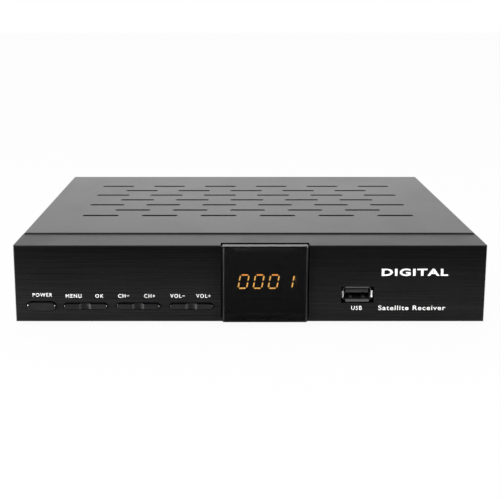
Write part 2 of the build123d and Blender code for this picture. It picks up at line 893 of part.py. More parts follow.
with BuildPart() as usb_shell:
    with BuildSketch(upright(front_board_depth)):
        with Locations((usb_x, usb_z)):
            Rectangle(usb_width, usb_height)
            Rectangle(usb_width - 2 * usb_sheet, usb_height - 2 * usb_sheet, mode=Mode.SUBTRACT)
    extrude(amount=usb_length - usb_lip)
    # side, top and bottom lips, each a bent strip in front of its wall
    mouth_y = front_y + usb_recess
    for direction in (-1, 1):
        side_x = usb_x + direction * usb_width / 2
        with BuildSketch(Plane.XY.offset(usb_z - usb_side_lip / 2)):
            with BuildLine():
                Polyline(
                    (side_x, mouth_y + usb_lip),
                    (side_x + direction * usb_flare, mouth_y),
                    (side_x + direction * (usb_flare - usb_sheet), mouth_y),
                    (side_x - direction * usb_sheet, mouth_y + usb_lip),
                    close=True,
                )
            make_face()
        extrude(amount=usb_side_lip)
        side_z = usb_z + direction * usb_height / 2
        with BuildSketch(Plane.YZ.offset(usb_x - usb_long_lip / 2)):
            with BuildLine():
                Polyline(
                    (mouth_y + usb_lip, side_z),
                    (mouth_y, side_z + direction * usb_flare),
                    (mouth_y, side_z + direction * (usb_flare - usb_sheet)),
                    (mouth_y + usb_lip, side_z - direction * usb_sheet),
                    close=True,
                )
            make_face()
        extrude(amount=usb_long_lip)

finish(usb_shell, "usb_shell")

with BuildPart() as usb_tongue:
    with BuildSketch(upright(front_board_depth)):
        with Locations((usb_x, usb_z)):
            Rectangle(usb_width - 2 * usb_sheet, usb_height - 2 * usb_sheet)
    extrude(amount=usb_base)
    with BuildSketch(upright(front_board_depth)):
        with Locations((usb_x, usb_z + usb_tongue_up)):
            Rectangle(usb_tongue_width, usb_tongue_thickness)
    extrude(amount=usb_length - usb_tongue_recess)
    chamfer(usb_tongue.edges().group_by(Axis.Y)[0], usb_tongue_edge)

finish(usb_tongue, "usb_tongue")

with BuildPart() as usb_contacts:
    with BuildSketch(upright(front_board_depth - usb_base)):
        contact_z = usb_z + usb_tongue_up - (usb_tongue_thickness + usb_contact_thickness) / 2
        with Locations((usb_x, contact_z)):
            with GridLocations(usb_contact_pitch, 1, 4, 1):
                Rectangle(usb_contact_width, usb_contact_thickness)
    extrude(amount=usb_length - usb_base - usb_tongue_recess - usb_contact_recess)

finish(usb_contacts, "usb_contacts")

# --------------------------------------------------------------------------------------------------
# Main board
# --------------------------------------------------------------------------------------------------

with BuildPart() as main_board:
    with BuildSketch(Plane.XY.offset(board_z)):
        with Locations((0, main_middle_y)):
            Rectangle(main_width, main_depth)
        with Locations(*main_holes):
            Circle(shank_radius + thread_clearance, mode=Mode.SUBTRACT)
    extrude(amount=board)

finish(main_board, "main_board")

with BuildPart() as main_board_screws:
    with Locations(*[(x, y, parts_z) for x, y in main_holes]):
        add(screw.part)

finish(main_board_screws, "main_board_screws")

with BuildPart() as processor:
    with BuildSketch(Plane.XY.offset(parts_z)):
        with Locations((processor_x, front_y + processor_depth)):
            Rectangle(processor_side, processor_side)
    extrude(amount=processor_thickness)

finish(processor, "processor")

with BuildPart() as heat_sink:
    sink_z = parts_z + processor_thickness
    with BuildSketch(Plane.XY.offset(sink_z)):
        with Locations((processor_x, front_y + processor_depth)):
            Rectangle(sink_side, sink_side)
    extrude(amount=sink_base)
    with BuildSketch(Plane.XY.offset(sink_z + sink_base)):
        with Locations((processor_x, front_y + processor_depth)):
            with GridLocations((sink_side - sink_fin) / (sink_fins - 1), 1, sink_fins, 1):
                Rectangle(sink_fin, sink_side)
    extrude(amount=sink_height - sink_base)

finish(heat_sink, "heat_sink")

with BuildPart() as memory_chip:
    with BuildSketch(Plane.XY.offset(parts_z)):
        with Locations((memory_x, front_y + processor_depth)):
            Rectangle(memory_width, memory_length)
    extrude(amount=memory_thickness)

finish(memory_chip, "memory_chip")

with BuildPart() as crystal:
    with BuildSketch(Plane.XY.offset(parts_z)):
        with Locations((crystal_x, front_y + processor_depth)):
            SlotOverall(crystal_width, crystal_depth)
    extrude(amount=crystal_height)
    chamfer(crystal.edges().group_by(Axis.Z)[-1], crystal_edge)

finish(crystal, "crystal")

with BuildPart() as capacitors:
    for x, depth, radius, height in capacitors_at:
        with BuildSketch(Plane.XZ.offset(-(front_y + depth))):
            with BuildLine():
                Polyline(
                    (x, parts_z),
                    (x + radius, parts_z),
                    (x + radius, parts_z + capacitor_crimp_up - capacitor_crimp),
                    (x + radius - capacitor_crimp, parts_z + capacitor_crimp_up),
                    (x + radius, parts_z + capacitor_crimp_up + capacitor_crimp),
                    (x + radius, parts_z + height),
                    (x, parts_z + height),
                    close=True,
                )
            make_face()
        revolve(axis=Axis((x, front_y + depth, 0), (0, 0, 1)))

finish(capacitors, "capacitors")

# --------------------------------------------------------------------------------------------------
# Tuner with its aerial connectors
# --------------------------------------------------------------------------------------------------

tuner_rear_y = main_rear_y
tuner_middle_y = tuner_rear_y - tuner_depth / 2

with BuildPart() as tuner_can:
    with Locations((tuner_x, tuner_middle_y, parts_z)):
        Box(
            tuner_width,
            tuner_depth,
            tuner_height,
            align=(Align.CENTER, Align.CENTER, Align.MIN),
        )

finish(tuner_can, "tuner_can")

with BuildPart() as tuner_cover:
    lid_z = parts_z + tuner_height
    with BuildSketch(Plane.XY.offset(lid_z + tuner_lid)):
        with Locations((tuner_x, tuner_middle_y)):
            Rectangle(tuner_width + 2 * tuner_lid, tuner_depth)
    extrude(amount=-tuner_lid)
    with BuildSketch(Plane.XY.offset(lid_z)):
        with Locations((tuner_x, tuner_middle_y)):
            with GridLocations(tuner_width + tuner_lid, 1, 2, 1):
                Rectangle(tuner_lid, tuner_depth)
    extrude(amount=-tuner_lid_skirt)

finish(tuner_cover, "tuner_cover")

for x, name in zip(connector_xs, ("loop_connector", "lnb_connector")):
    with BuildPart() as connector:
        with BuildSketch(from_rear(sheet + main_rear_gap)):
            with Locations((-x, connector_z)):
                Circle(connector_base_radius)
        extrude(amount=sheet + main_rear_gap + nut_thickness)
        with BuildSketch(from_rear()):
            with Locations((-x, connector_z)):
                Circle(connector_radius)
        extrude(amount=connector_length)
        chamfer(connector.edges().group_by(Axis.Y)[-1], connector_chamfer)
        with BuildSketch(from_rear(-connector_length)):
            with Locations((-x, connector_z)):
                Circle(connector_bore)
        extrude(amount=-(connector_length - nut_thickness), mode=Mode.SUBTRACT)
    finish(connector, name)

with BuildPart() as connector_cores:
    for x in connector_xs:
        with BuildSketch(from_rear(-nut_thickness)):
            with Locations((-x, connector_z)):
                Circle(connector_bore)
        extrude(amount=connector_length - nut_thickness - connector_cup)
        with BuildSketch(from_rear(-nut_thickness - sheet)):
            with Locations((-x, connector_z)):
                Circle(core_hole_radius)
        extrude(amount=connector_length, mode=Mode.SUBTRACT)

finish(connector_cores, "connector_cores")

with BuildPart() as connector_nuts:
    with BuildSketch(from_rear()):
        for x in connector_xs:
            with Locations((-x, connector_z)):
                RegularPolygon(nut_across / sqrt(3), 6)
                Circle(connector_base_radius + nut_clearance, mode=Mode.SUBTRACT)
    extrude(amount=nut_thickness)

finish(connector_nuts, "connector_nuts")

# --------------------------------------------------------------------------------------------------
# Phono sockets
# --------------------------------------------------------------------------------------------------

phono_middle_z = sum(z for _, z in phono_places) / len(phono_places)

with BuildPart() as phono_housing:
    housing_height = phono_middle_z + phono_pitch / 2 + phono_body_margin - parts_z
    with Locations((phono_x, rear_y - sheet, parts_z)):
        Box(
            phono_width,
            phono_body_depth,
            housing_height,
            align=(Align.CENTER, Align.MAX, Align.MIN),
        )
    with BuildSketch(from_rear(sheet)):
        with Locations(*[(-x, z) for x, z in phono_places]):
            Circle(phono_barrel_radius)
    extrude(amount=-phono_hole_depth, mode=Mode.SUBTRACT)

finish(phono_housing, "phono_housing")

phono_colours = ("red", "white", "orange", "yellow")

for (x, z), colour in zip(phono_places, phono_colours):
    with BuildPart() as phono_insert:
        with BuildSketch(from_rear(sheet)):
            with Locations((-x, z)):
                Circle(phono_disc_radius)
        extrude(amount=sheet + phono_disc_proud)
        core_radius = phono_barrel_radius - phono_barrel_wall - phono_core_gap
        with BuildSketch(from_rear(sheet + phono_hole_depth)):
            with Locations((-x, z)):
                Circle(core_radius)
        extrude(amount=phono_hole_depth + sheet + phono_disc_proud + phono_barrel_length - phono_disc_proud)
        with BuildSketch(from_rear(-(phono_disc_proud + phono_barrel_length))):
            with Locations((-x, z)):
                Circle(phono_hole_radius)
        extrude(amount=-phono_hole_depth, mode=Mode.SUBTRACT)
    finish(phono_insert, f"phono_insert_{colour}")

with BuildPart() as phono_barrels:
    with BuildSketch(from_rear(-phono_disc_proud)):
        with Locations(*[(-x, z) for x, z in phono_places]):
            Circle(phono_barrel_radius)
            Circle(phono_barrel_radius - phono_barrel_wall, mode=Mode.SUBTRACT)
    extrude(amount=phono_barrel_length)

finish(phono_barrels, "phono_barrels")

# --------------------------------------------------------------------------------------------------
# Digital video socket
# --------------------------------------------------------------------------------------------------


def video_outline(inset):
    """The socket's outline, with its two lower corners cut off, drawn from behind."""
    right = video_width / 2 - inset
    high = video_height / 2 - inset
    low = -high
    cut = video_corner - inset * (2 - sqrt(2))
    Polygon(
        (-right, high),
        (right, high),
        (right, low + cut),
        (right - cut, low),
        (-right + cut, low),
        (-right, low + cut),
        align=None,
    )


video_at = Plane(origin=(video_x, rear_y + video_proud, video_z), x_dir=(-1, 0, 0), z_dir=(0, 1, 0))

with BuildPart() as video_shell:
    with BuildSketch(video_at):
        video_outline(0)
    extrude(amount=-video_depth)
    with BuildSketch(video_at):
        video_outline(video_sheet)
    extrude(amount=-video_depth, mode=Mode.SUBTRACT)

finish(video_shell, "video_socket_shell")

with BuildPart() as video_tongue:
    with BuildSketch(video_at.offset(-video_depth)):
        video_outline(video_sheet)
    extrude(amount=video_base)
    with BuildSketch(video_at.offset(-video_depth)):
        with Locations((0, video_sheet)):
            Rectangle(video_tongue_width, video_tongue_thickness)
    extrude(amount=video_depth - video_tongue_recess)

finish(video_tongue, "video_socket_tongue")

# --------------------------------------------------------------------------------------------------
# Euro television socket: a trench round a block with two rows of contact slots
# --------------------------------------------------------------------------------------------------


def scart_outline(inset):
    """The mating outline, a rectangle with one lower corner cut off, drawn from behind."""
    right = scart_width / 2 - inset
    high = scart_height / 2 - inset
    Polygon(
        (-right, high),
        (right, high),
        (right, -high),
        (-right + scart_corner, -high),
        (-right, -high + scart_corner_rise),
        align=None,
    )


scart_at = Plane(origin=(scart_x, rear_y + scart_proud, scart_z), x_dir=(-1, 0, 0), z_dir=(0, 1, 0))

with BuildPart() as scart_socket:
    with BuildSketch(scart_at):
        Rectangle(scart_width, scart_height)
    extrude(amount=-scart_depth)
    with BuildSketch(scart_at):
        scart_outline(scart_wall)
    extrude(amount=-scart_trench_depth, mode=Mode.SUBTRACT)
    with BuildSketch(scart_at.offset(-scart_trench_depth)):
        scart_outline(scart_wall + scart_trench)
    extrude(amount=scart_trench_depth)
    with BuildSketch(scart_at):
        for row in (-1, 1):
            with Locations((row * scart_slot_pitch / 4, row * scart_row_spacing / 2)):
                with GridLocations(scart_slot_pitch, 1, scart_slots, 1):
                    Rectangle(scart_slot_width, scart_slot_height)
    extrude(amount=-scart_slot_depth, mode=Mode.SUBTRACT)

finish(scart_socket, "scart_socket")

# --------------------------------------------------------------------------------------------------
# Supply socket
# --------------------------------------------------------------------------------------------------

with BuildPart() as supply_socket:
    with Locations((supply_x, rear_y - sheet, parts_z)):
        Box(
            supply_width,
            supply_depth,
            supply_height,
            align=(Align.CENTER, Align.MAX, Align.MIN),
        )
    with BuildSketch(from_rear(sheet)):
        with Locations((-supply_x, supply_z)):
            Circle(supply_nose_radius)
    extrude(amount=sheet)
    with BuildSketch(from_rear()):
        with Locations((-supply_x, supply_z)):
            Circle(supply_hole_radius)
    extrude(amount=-supply_hole_depth, mode=Mode.SUBTRACT)

finish(supply_socket, "supply_socket")

with BuildPart() as supply_pin:
    with BuildSketch(from_rear(supply_hole_depth)):
        with Locations((-supply_x, supply_z)):
            Circle(supply_pin_radius)
    extrude(amount=supply_hole_depth - supply_pin_recess)

finish(supply_pin, "supply_pin")

# --------------------------------------------------------------------------------------------------
# Ribbon cable and its two plugs
# --------------------------------------------------------------------------------------------------

front_plug_y = front_y + front_board_depth + board
main_plug_y = main_rear_y - main_depth + plug_depth
ribbon_start = (front_plug_y + plug_depth, base_z + ribbon_up)
ribbon_end = (main_plug_y, parts_z + plug_height)

with BuildPart() as ribbon_plugs:
    with BuildSketch(Plane.XZ.offset(-front_plug_y)):
        with Locations((ribbon_x, ribbon_start[1])):
            Rectangle(ribbon_width + 2 * plug_side, plug_height)
    extrude(amount=-plug_depth)
    with BuildSketch(Plane.XY.offset(parts_z)):
        with Locations((ribbon_x, main_plug_y)):
            Rectangle(ribbon_width + 2 * plug_side, plug_depth)
    extrude(amount=plug_height)

finish(ribbon_plugs, "ribbon_plugs")

with BuildPart() as ribbon_cable:
    with BuildSketch(Plane.YZ.offset(ribbon_x - ribbon_width / 2)):
        with BuildLine():
            FilletPolyline(
                ribbon_start,
                (ribbon_end[0], ribbon_start[1]),
                ribbon_end,
                radius=ribbon_bend,
            )
        trace(line_width=ribbon_thickness)
    extrude(amount=ribbon_width)

finish(ribbon_cable, "ribbon_cable")
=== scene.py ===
# %% [markdown]
# # A satellite television receiver in Blender
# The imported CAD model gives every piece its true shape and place. This lesson loads it, lights it,
# gives each piece a material made from nodes, and adds the small things that CAD leaves out:
# printed words, the lit digits, screw threads, springs and contacts.

# %% Load the frame
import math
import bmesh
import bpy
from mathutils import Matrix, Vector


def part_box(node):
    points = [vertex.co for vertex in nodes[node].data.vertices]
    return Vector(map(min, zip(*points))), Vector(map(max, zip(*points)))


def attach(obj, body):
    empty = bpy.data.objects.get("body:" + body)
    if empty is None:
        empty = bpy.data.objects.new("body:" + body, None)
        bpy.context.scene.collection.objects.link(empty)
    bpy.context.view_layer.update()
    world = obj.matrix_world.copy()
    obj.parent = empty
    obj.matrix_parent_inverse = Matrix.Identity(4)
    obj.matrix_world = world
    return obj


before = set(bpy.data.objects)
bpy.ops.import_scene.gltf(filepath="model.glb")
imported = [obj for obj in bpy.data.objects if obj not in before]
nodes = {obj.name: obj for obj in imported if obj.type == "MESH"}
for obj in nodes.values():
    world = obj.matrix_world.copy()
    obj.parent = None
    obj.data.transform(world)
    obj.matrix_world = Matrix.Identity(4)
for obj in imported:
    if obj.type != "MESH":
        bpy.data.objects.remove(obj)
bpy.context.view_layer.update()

# %% [markdown]
# ## Tools
# Blender works in metres here, as the CAD frame does, while a receiver is drawn in millimetres, so one
# factor turns one into the other.

MM = 0.001


def mm(*lengths):
    return [round(length / MM, 2) for length in lengths]


# %% [markdown]
# ## The camera
# The front of the receiver is seen flat on from a little above, with its upright edges nearly upright.
# A camera that only looks down would make them lean, so this one looks down a little and does the rest
# with the lens shift.

# %% Camera
CAMERA_PLACE = (-8.49 * MM, -460.58 * MM, 150.6 * MM)
LOOKS_DOWN, FOCAL_LENGTH, SHIFT = 0.1717, 60.889, (0.0363, -0.20)
camera_data = bpy.data.cameras.new("camera")
camera = bpy.data.objects.new("camera", camera_data)
bpy.context.scene.collection.objects.link(camera)
camera.location = CAMERA_PLACE
camera.rotation_euler = (math.pi / 2 - LOOKS_DOWN, 0, 0)
camera_data.lens = FOCAL_LENGTH
camera_data.shift_x, camera_data.shift_y = SHIFT
camera_data.clip_start, camera_data.clip_end = 0.01, 50
bpy.context.scene.camera = camera
bpy.context.scene.view_settings.view_transform = "Standard"
print("camera at mm", mm(*camera.location))

# %% [markdown]
# ## Nodes in a few lines
# The room, the floor and every finish are trees of nodes, small boxes joined by wires. By hand each is
# placed and wired with the mouse. In code one helper adds a node and joins its inputs, so that a
# tree reads like a sum.

# %% Node helpers
def node(tree, kind, wires=(), **settings):
    """Adds a node. `settings` are its choices, and each of `wires` is a socket to join or a value."""
    made = tree.nodes.new(kind)
    for name, value in settings.items():
        setattr(made, name, value)
    for name, value in dict(wires).items():
        if isinstance(value, bpy.types.NodeSocket):
            tree.links.new(value, made.inputs[name])
        else:
            made.inputs[name].default_value = value
    return made


def maths(tree, operation, first, second=0.0):
    return node(tree, "ShaderNodeMath", {0: first, 1: second}, operation=operation).outputs[0]


def product(tree, first, second):
    return maths(tree, "MULTIPLY", first, second)


def distance(tree, value, middle):
    return maths(tree, "ABSOLUTE", maths(tree, "SUBTRACT", value, middle))


def ramp(tree, value, low, high, to_low=0.0, to_high=1.0, shape="LINEAR"):
    """Spreads the part of a pattern between two levels over a new range."""
    wires = {"Value": value, "From Min": low, "From Max": high, "To Min": to_low, "To Max": to_high}
    return node(tree, "ShaderNodeMapRange", wires, interpolation_type=shape).outputs["Result"]


print("node helpers ready")

# %% [markdown]
# A pattern needs to know where it is and which way the surface faces. Three helpers give the place as
# one vector, the place as X, Y and Z, and the normal as X, Y and Z.

# %% Where a pattern is
def space(tree):
    return node(tree, "ShaderNodeTexCoord").outputs["Object"]


def spot(tree):
    return node(tree, "ShaderNodeSeparateXYZ", {0: space(tree)}).outputs


def facing(tree):
    normal = node(tree, "ShaderNodeNewGeometry").outputs["Normal"]
    return node(tree, "ShaderNodeSeparateXYZ", {0: normal}).outputs


print("place and normal helpers ready")

# %% [markdown]
# ## The studio
# Black paint shows little but what it mirrors, so the room matters more than the lamps. The room is
# bright behind the object and overhead, and dim on the camera's side: the top then turns grey at its
# grazing angle while the front stays black. To the camera itself the room is plain white. A few nodes
# make these levels from the direction of view, where an image of a real room would do it less simply.

# %% The room
SMOOTH = "SMOOTHSTEP"
LEVEL_BEFORE, LEVEL_BEHIND, LEVEL_ABOVE, SIDE_SHARE = 0.14, 1.2, 0.35, 0.70
world = bpy.data.worlds.new("studio")
bpy.context.scene.world = world
world.use_nodes = True
sky = world.node_tree
sky.nodes.clear()
direction = node(sky, "ShaderNodeTexCoord").outputs["Generated"]
split = node(sky, "ShaderNodeSeparateXYZ", {0: direction}).outputs
behind = ramp(sky, split["Y"], -0.2, 0.75, LEVEL_BEFORE, LEVEL_BEHIND, SMOOTH)
aside = ramp(sky, maths(sky, "ABSOLUTE", split["X"]), 0.0, 0.6, 1.0, SIDE_SHARE, SMOOTH)
overhead = ramp(sky, split["Z"], 0.2, 1.0, 0.0, LEVEL_ABOVE, SMOOTH)
level = maths(sky, "ADD", product(sky, behind, aside), overhead)
print("room's levels made with", len(sky.nodes), "nodes")

# %% [markdown]
# Two backgrounds are mixed: a ray from the camera finds white, and any other the room's levels.

# %% White for the camera
WHITE = (1, 1, 1, 1)
room = node(sky, "ShaderNodeBackground", {"Color": WHITE, "Strength": level}).outputs[0]
plain_white = node(sky, "ShaderNodeBackground", {"Color": WHITE}).outputs[0]
camera_ray = node(sky, "ShaderNodeLightPath").outputs["Is Camera Ray"]
choice = node(sky, "ShaderNodeMixShader", {0: camera_ray, 1: room, 2: plain_white}).outputs[0]
node(sky, "ShaderNodeOutputWorld", {"Surface": choice})
print("studio room with", len(sky.nodes), "nodes")


# %% [markdown]
# Three soft lamps light the front. A large one high in front makes the words read white. Two long
# low ones at the sides, the left one stronger, skim across the front and catch the keys' saddles and
# the socket's lips. Both end below the receiver's top, so they leave the top alone.

# %% Lamps
def soft_lamp(name, place, aim, size, power):
    """A rectangular lamp of `size` in metres, turned from its place towards the point `aim`."""
    lamp_data = bpy.data.lights.new(name, "AREA")
    lamp_data.shape = "RECTANGLE"
    lamp_data.size, lamp_data.size_y = size
    lamp_data.energy = power
    lamp = bpy.data.objects.new(name, lamp_data)
    lamp.location = place
    lamp.rotation_euler = (Vector(aim) - Vector(place)).to_track_quat("-Z", "Y").to_euler()
    bpy.context.scene.collection.objects.link(lamp)


soft_lamp("lamp_front", place=(-0.35, -0.95, 0.85), aim=(0, -0.05, 0.02), size=(0.7, 0.5), power=11)
soft_lamp("lamp_left", place=(-0.95, -0.3, 0.022), aim=(0, -0.08, 0.022), size=(0.8, 0.036), power=26)
soft_lamp("lamp_right", place=(0.95, -0.3, 0.022), aim=(0, -0.08, 0.022), size=(0.6, 0.036), power=18)


# %% [markdown]
# ## Working by hand, in code
# Operators act on whatever is selected, and the loaded nodes come in selected. So a piece is made as
# by hand: everything is let go, one piece is held, and part of it is picked by a test on its place.

# %% Selecting
def let_go():
    if bpy.context.mode != "OBJECT":
        bpy.ops.object.mode_set(mode="OBJECT")
    bpy.ops.object.select_all(action="DESELECT")


def hold(piece):
    let_go()
    piece.select_set(True)
    bpy.context.view_layer.objects.active = piece


def pick(piece, wanted, kind="VERT"):
    """In edit mode, selects the vertices or faces of which `wanted(middle, element)` is true."""
    hold(piece)
    bpy.ops.object.mode_set(mode="EDIT")
    bpy.ops.mesh.select_mode(type=kind)
    bpy.ops.mesh.select_all(action="DESELECT")
    shape = bmesh.from_edit_mesh(piece.data)
    for element in shape.verts if kind == "VERT" else shape.faces:
        middle = element.co if kind == "VERT" else element.calc_center_median()
        if wanted(middle, element):
            element.select_set(True)
    shape.select_flush_mode()
    bmesh.update_edit_mesh(piece.data)


let_go()
print("selected after letting go:", len(bpy.context.selected_objects))


# %% [markdown]
# A finished piece keeps its place in its mesh, with its object at the origin, so that the patterns of
# all pieces share one space. Several pieces that are one part are joined.

# %% Settling
def settle(piece, name):
    hold(piece)
    bpy.ops.object.transform_apply(location=True, rotation=True, scale=True)
    piece.name = piece.data.name = name
    return piece


def joined(pieces, name):
    let_go()
    for piece in pieces:
        piece.select_set(True)
    bpy.context.view_layer.objects.active = pieces[0]
    bpy.ops.object.join()
    return settle(bpy.context.active_object, name)


print("settling helpers ready")

# %% [markdown]
# ## The floor
# A pale floor takes the object's shadow. Most of what the camera sees of it is plain white, and the
# rest is the lit surface, so that a faint shadow is left. What glossy surfaces see of it is another
# matter: in front of the object the floor is dim to them, like the table's edge in a dim room, or
# the polished window would turn grey with its mirror image.

# %% Floor
DIM_BEFORE_Y, PALE_BEHIND_Y = -97 * MM, -87 * MM
DIM_PAPER, PALE_PAPER = 0.15, 0.80
WHITE_SHARE = 0.95
bpy.ops.mesh.primitive_plane_add(size=8, location=(0, 0, 0))
floor = settle(bpy.context.active_object, "floor")
paper = bpy.data.materials.new("paper")
paper.use_nodes = True
floor.data.materials.append(paper)
print("floor", [round(v, 2) for v in floor.dimensions])

# %% [markdown]
# The paper's colour steps from dim to pale along Y, but to the camera it is pale everywhere. A share
# of white glow is mixed in for the camera alone.

# %% Paper
tree = paper.node_tree
near = ramp(tree, spot(tree)["Y"], DIM_BEFORE_Y, PALE_BEHIND_Y, DIM_PAPER, PALE_PAPER, SMOOTH)
camera_ray = node(tree, "ShaderNodeLightPath").outputs["Is Camera Ray"]
pale = node(tree, "ShaderNodeMix", {0: camera_ray, 2: near, 3: PALE_PAPER}, data_type="FLOAT").outputs[0]
surface = tree.nodes["Principled BSDF"]
surface.inputs["Roughness"].default_value = 0.9
surface.inputs["Specular IOR Level"].default_value = 0.1
tree.links.new(pale, surface.inputs["Base Color"])
glow = node(tree, "ShaderNodeEmission").outputs[0]
share = product(tree, camera_ray, WHITE_SHARE)
choice = node(tree, "ShaderNodeMixShader", {0: share, 1: surface.outputs[0], 2: glow}).outputs[0]
tree.links.new(choice, tree.nodes["Material Output"].inputs["Surface"])
print("paper with", len(tree.nodes), "nodes")

# %% [markdown]
# ## Materials from nodes
# Every finish is a Principled shader whose colour, roughness and bump come from patterns in the
# piece's own space. What several finishes share is made once as a node group: grain, the lines of
# brushing, smudges, settled dust and worn edges.

# %% A shared group
def new_group(name, inputs, outputs):
    """An empty shader group with float inputs {name: value} and float outputs [name]."""
    made = bpy.data.node_groups.new(name, "ShaderNodeTree")
    for title, value in inputs.items():
        socket = made.interface.new_socket(title, in_out="INPUT", socket_type="NodeSocketFloat")
        socket.default_value = value
    for title in outputs:
        made.interface.new_socket(title, in_out="OUTPUT", socket_type="NodeSocketFloat")
    return made, made.nodes.new("NodeGroupInput").outputs, made.nodes.new("NodeGroupOutput").inputs


def noise(tree, place, scale, detail, **more):
    wires = {"Vector": place, "Scale": scale, "Detail": detail, **more}
    return node(tree, "ShaderNodeTexNoise", wires).outputs[0]


print("group and noise helpers ready")

# %% [markdown]
# Paint and moulded plastic have a grain far finer than a millimetre. One noise at that size gives the
# bump, and a broad one gives the slow unevenness that any sprayed or moulded surface has.

# %% Grain
rates = {"Grain per m": 3000.0, "Clouds per m": 25.0}
grain, given, made = new_group("fine_grain", rates, ["Grain", "Clouds"])
place = space(grain)
fine = noise(grain, place, given["Grain per m"], 2.0)
broad = noise(grain, place, given["Clouds per m"], 3.0)
grain.links.new(ramp(grain, fine, 0.3, 0.7), made["Grain"])
grain.links.new(ramp(grain, broad, 0.3, 0.7), made["Clouds"])
print(grain.name, "with", len(grain.nodes), "nodes")

# %% [markdown]
# Brushing is the same noise drawn out along X. Two lengths of line are mixed, because a real brushed
# face has long faint streaks among the short ones.

# %% Brushed lines
STREAK_SHARE = 0.22
rates = {"Lines per m": 4200.0, "Draw": 0.01}
brushing, given, made = new_group("brushed_lines", rates, ["Lines", "Streaks"])
drawn = node(brushing, "ShaderNodeCombineXYZ", {"X": given["Draw"], "Y": 1.0, "Z": 1.0}).outputs[0]
stretch = {0: space(brushing), 1: drawn}
along = node(brushing, "ShaderNodeVectorMath", stretch, operation="MULTIPLY").outputs[0]
short = noise(brushing, along, given["Lines per m"], 3.0)
long = noise(brushing, along, product(brushing, given["Lines per m"], STREAK_SHARE), 4.0)
brushing.links.new(ramp(brushing, short, 0.32, 0.68), made["Lines"])
brushing.links.new(ramp(brushing, long, 0.3, 0.7), made["Streaks"])
print(brushing.name, "with", len(brushing.nodes), "nodes")

# %% [markdown]
# Handling leaves faint smudges, which change only how rough the surface looks, and dust settles on
# what faces up. Both stay slight on a receiver that is nearly new.

# %% Smudges and dust
smudges, given, made = new_group("smudges", {"Smudges per m": 14.0}, ["Smudge"])
blot = noise(smudges, space(smudges), given["Smudges per m"], 5.0, Roughness=0.62, Distortion=1.4)
smudges.links.new(ramp(smudges, blot, 0.5, 0.68), made["Smudge"])

dust, given, made = new_group("settled_dust", {"Amount": 0.3}, ["Dust"])
specks = noise(dust, space(dust), 900.0, 6.0, Roughness=0.7)
lying = product(dust, ramp(dust, facing(dust)["Z"], 0.6, 1.0), ramp(dust, specks, 0.45, 0.8))
dust.links.new(product(dust, lying, given["Amount"]), made["Dust"])
print(smudges.name, "and", dust.name, "with", len(smudges.nodes) + len(dust.nodes), "nodes")

# %% [markdown]
# An edge that hands and cloths rub is brighter and smoother than the face beside it. The Bevel node
# gives the normal of a rounded edge, and where that differs from the true one there is an edge.

# %% Worn edges
wear, given, made = new_group("worn_edges", {"Width": 0.0004, "Amount": 0.5}, ["Edge"])
rounded = node(wear, "ShaderNodeBevel", {"Radius": given["Width"]}, samples=6).outputs["Normal"]
true = node(wear, "ShaderNodeNewGeometry").outputs["True Normal"]
pair = {0: rounded, 1: true}
likeness = node(wear, "ShaderNodeVectorMath", pair, operation="DOT_PRODUCT").outputs["Value"]
breaks = noise(wear, space(wear), 350.0, 4.0)
edge = product(wear, ramp(wear, likeness, 0.99, 0.8), ramp(wear, breaks, 0.35, 0.6, 0.35))
wear.links.new(product(wear, edge, given["Amount"]), made["Edge"])
print("shared groups", [g.name for g in bpy.data.node_groups])


# %% [markdown]
# A finish starts from a colour and a roughness and is then varied. `finish` makes the material and
# hands back its tree and shader, and `use` places a shared group in the tree.

# %% Starting a finish
finishes = {}


def finish(name, **plain):
    """A new Principled material. `plain` gives the sockets that are the same all over."""
    made = bpy.data.materials.new(f"{name}_finish")
    made.use_nodes = True
    shader = made.node_tree.nodes["Principled BSDF"]
    for socket, value in plain.items():
        shader.inputs[socket.replace("_", " ")].default_value = value
    finishes[name] = made
    return made.node_tree, shader


def use(tree, group, **values):
    """Places a shared group in a material, with its own values."""
    placed = node(tree, "ShaderNodeGroup", node_tree=group)
    for socket, value in values.items():
        placed.inputs[socket.replace("_", " ")].default_value = value
    return placed.outputs


print("finish helpers ready")


# %% [markdown]
# Masks and heights then become a look: `shade` mixes two colours by a mask, `bump` turns a height into
# a normal, with its depth in metres, and `wire` joins what was made to the shader.

# %% Varying a finish
def shade(tree, mask, dark, light):
    """Mixes two colours by a mask. A colour is three numbers or a socket."""
    mixer = node(tree, "ShaderNodeMix", {0: mask}, data_type="RGBA")
    for socket, colour in ((mixer.inputs[6], dark), (mixer.inputs[7], light)):
        if isinstance(colour, bpy.types.NodeSocket):
            tree.links.new(colour, socket)
        else:
            socket.default_value = (*colour, 1)
    return mixer.outputs[2]


def bump(tree, height, depth):
    wires = {"Height": height, "Distance": depth, "Strength": 1.0}
    return node(tree, "ShaderNodeBump", wires).outputs["Normal"]


def wire(tree, shader, **sockets):
    for socket, source in sockets.items():
        tree.links.new(source, shader.inputs[socket.replace("_", " ")])


def tell(name):
    print(name, "made of", len(finishes[name].node_tree.nodes), "nodes")


print("shade, bump and wire ready")

# %% [markdown]
# ### The cover's paint
# The cover is folded steel with a black satin powder coat. The coat is nearly black, and the grey of
# the top is the bright room mirrored at a grazing angle. A fine orange-peel bump and slight changes of
# roughness keep that mirror image soft and a little uneven.

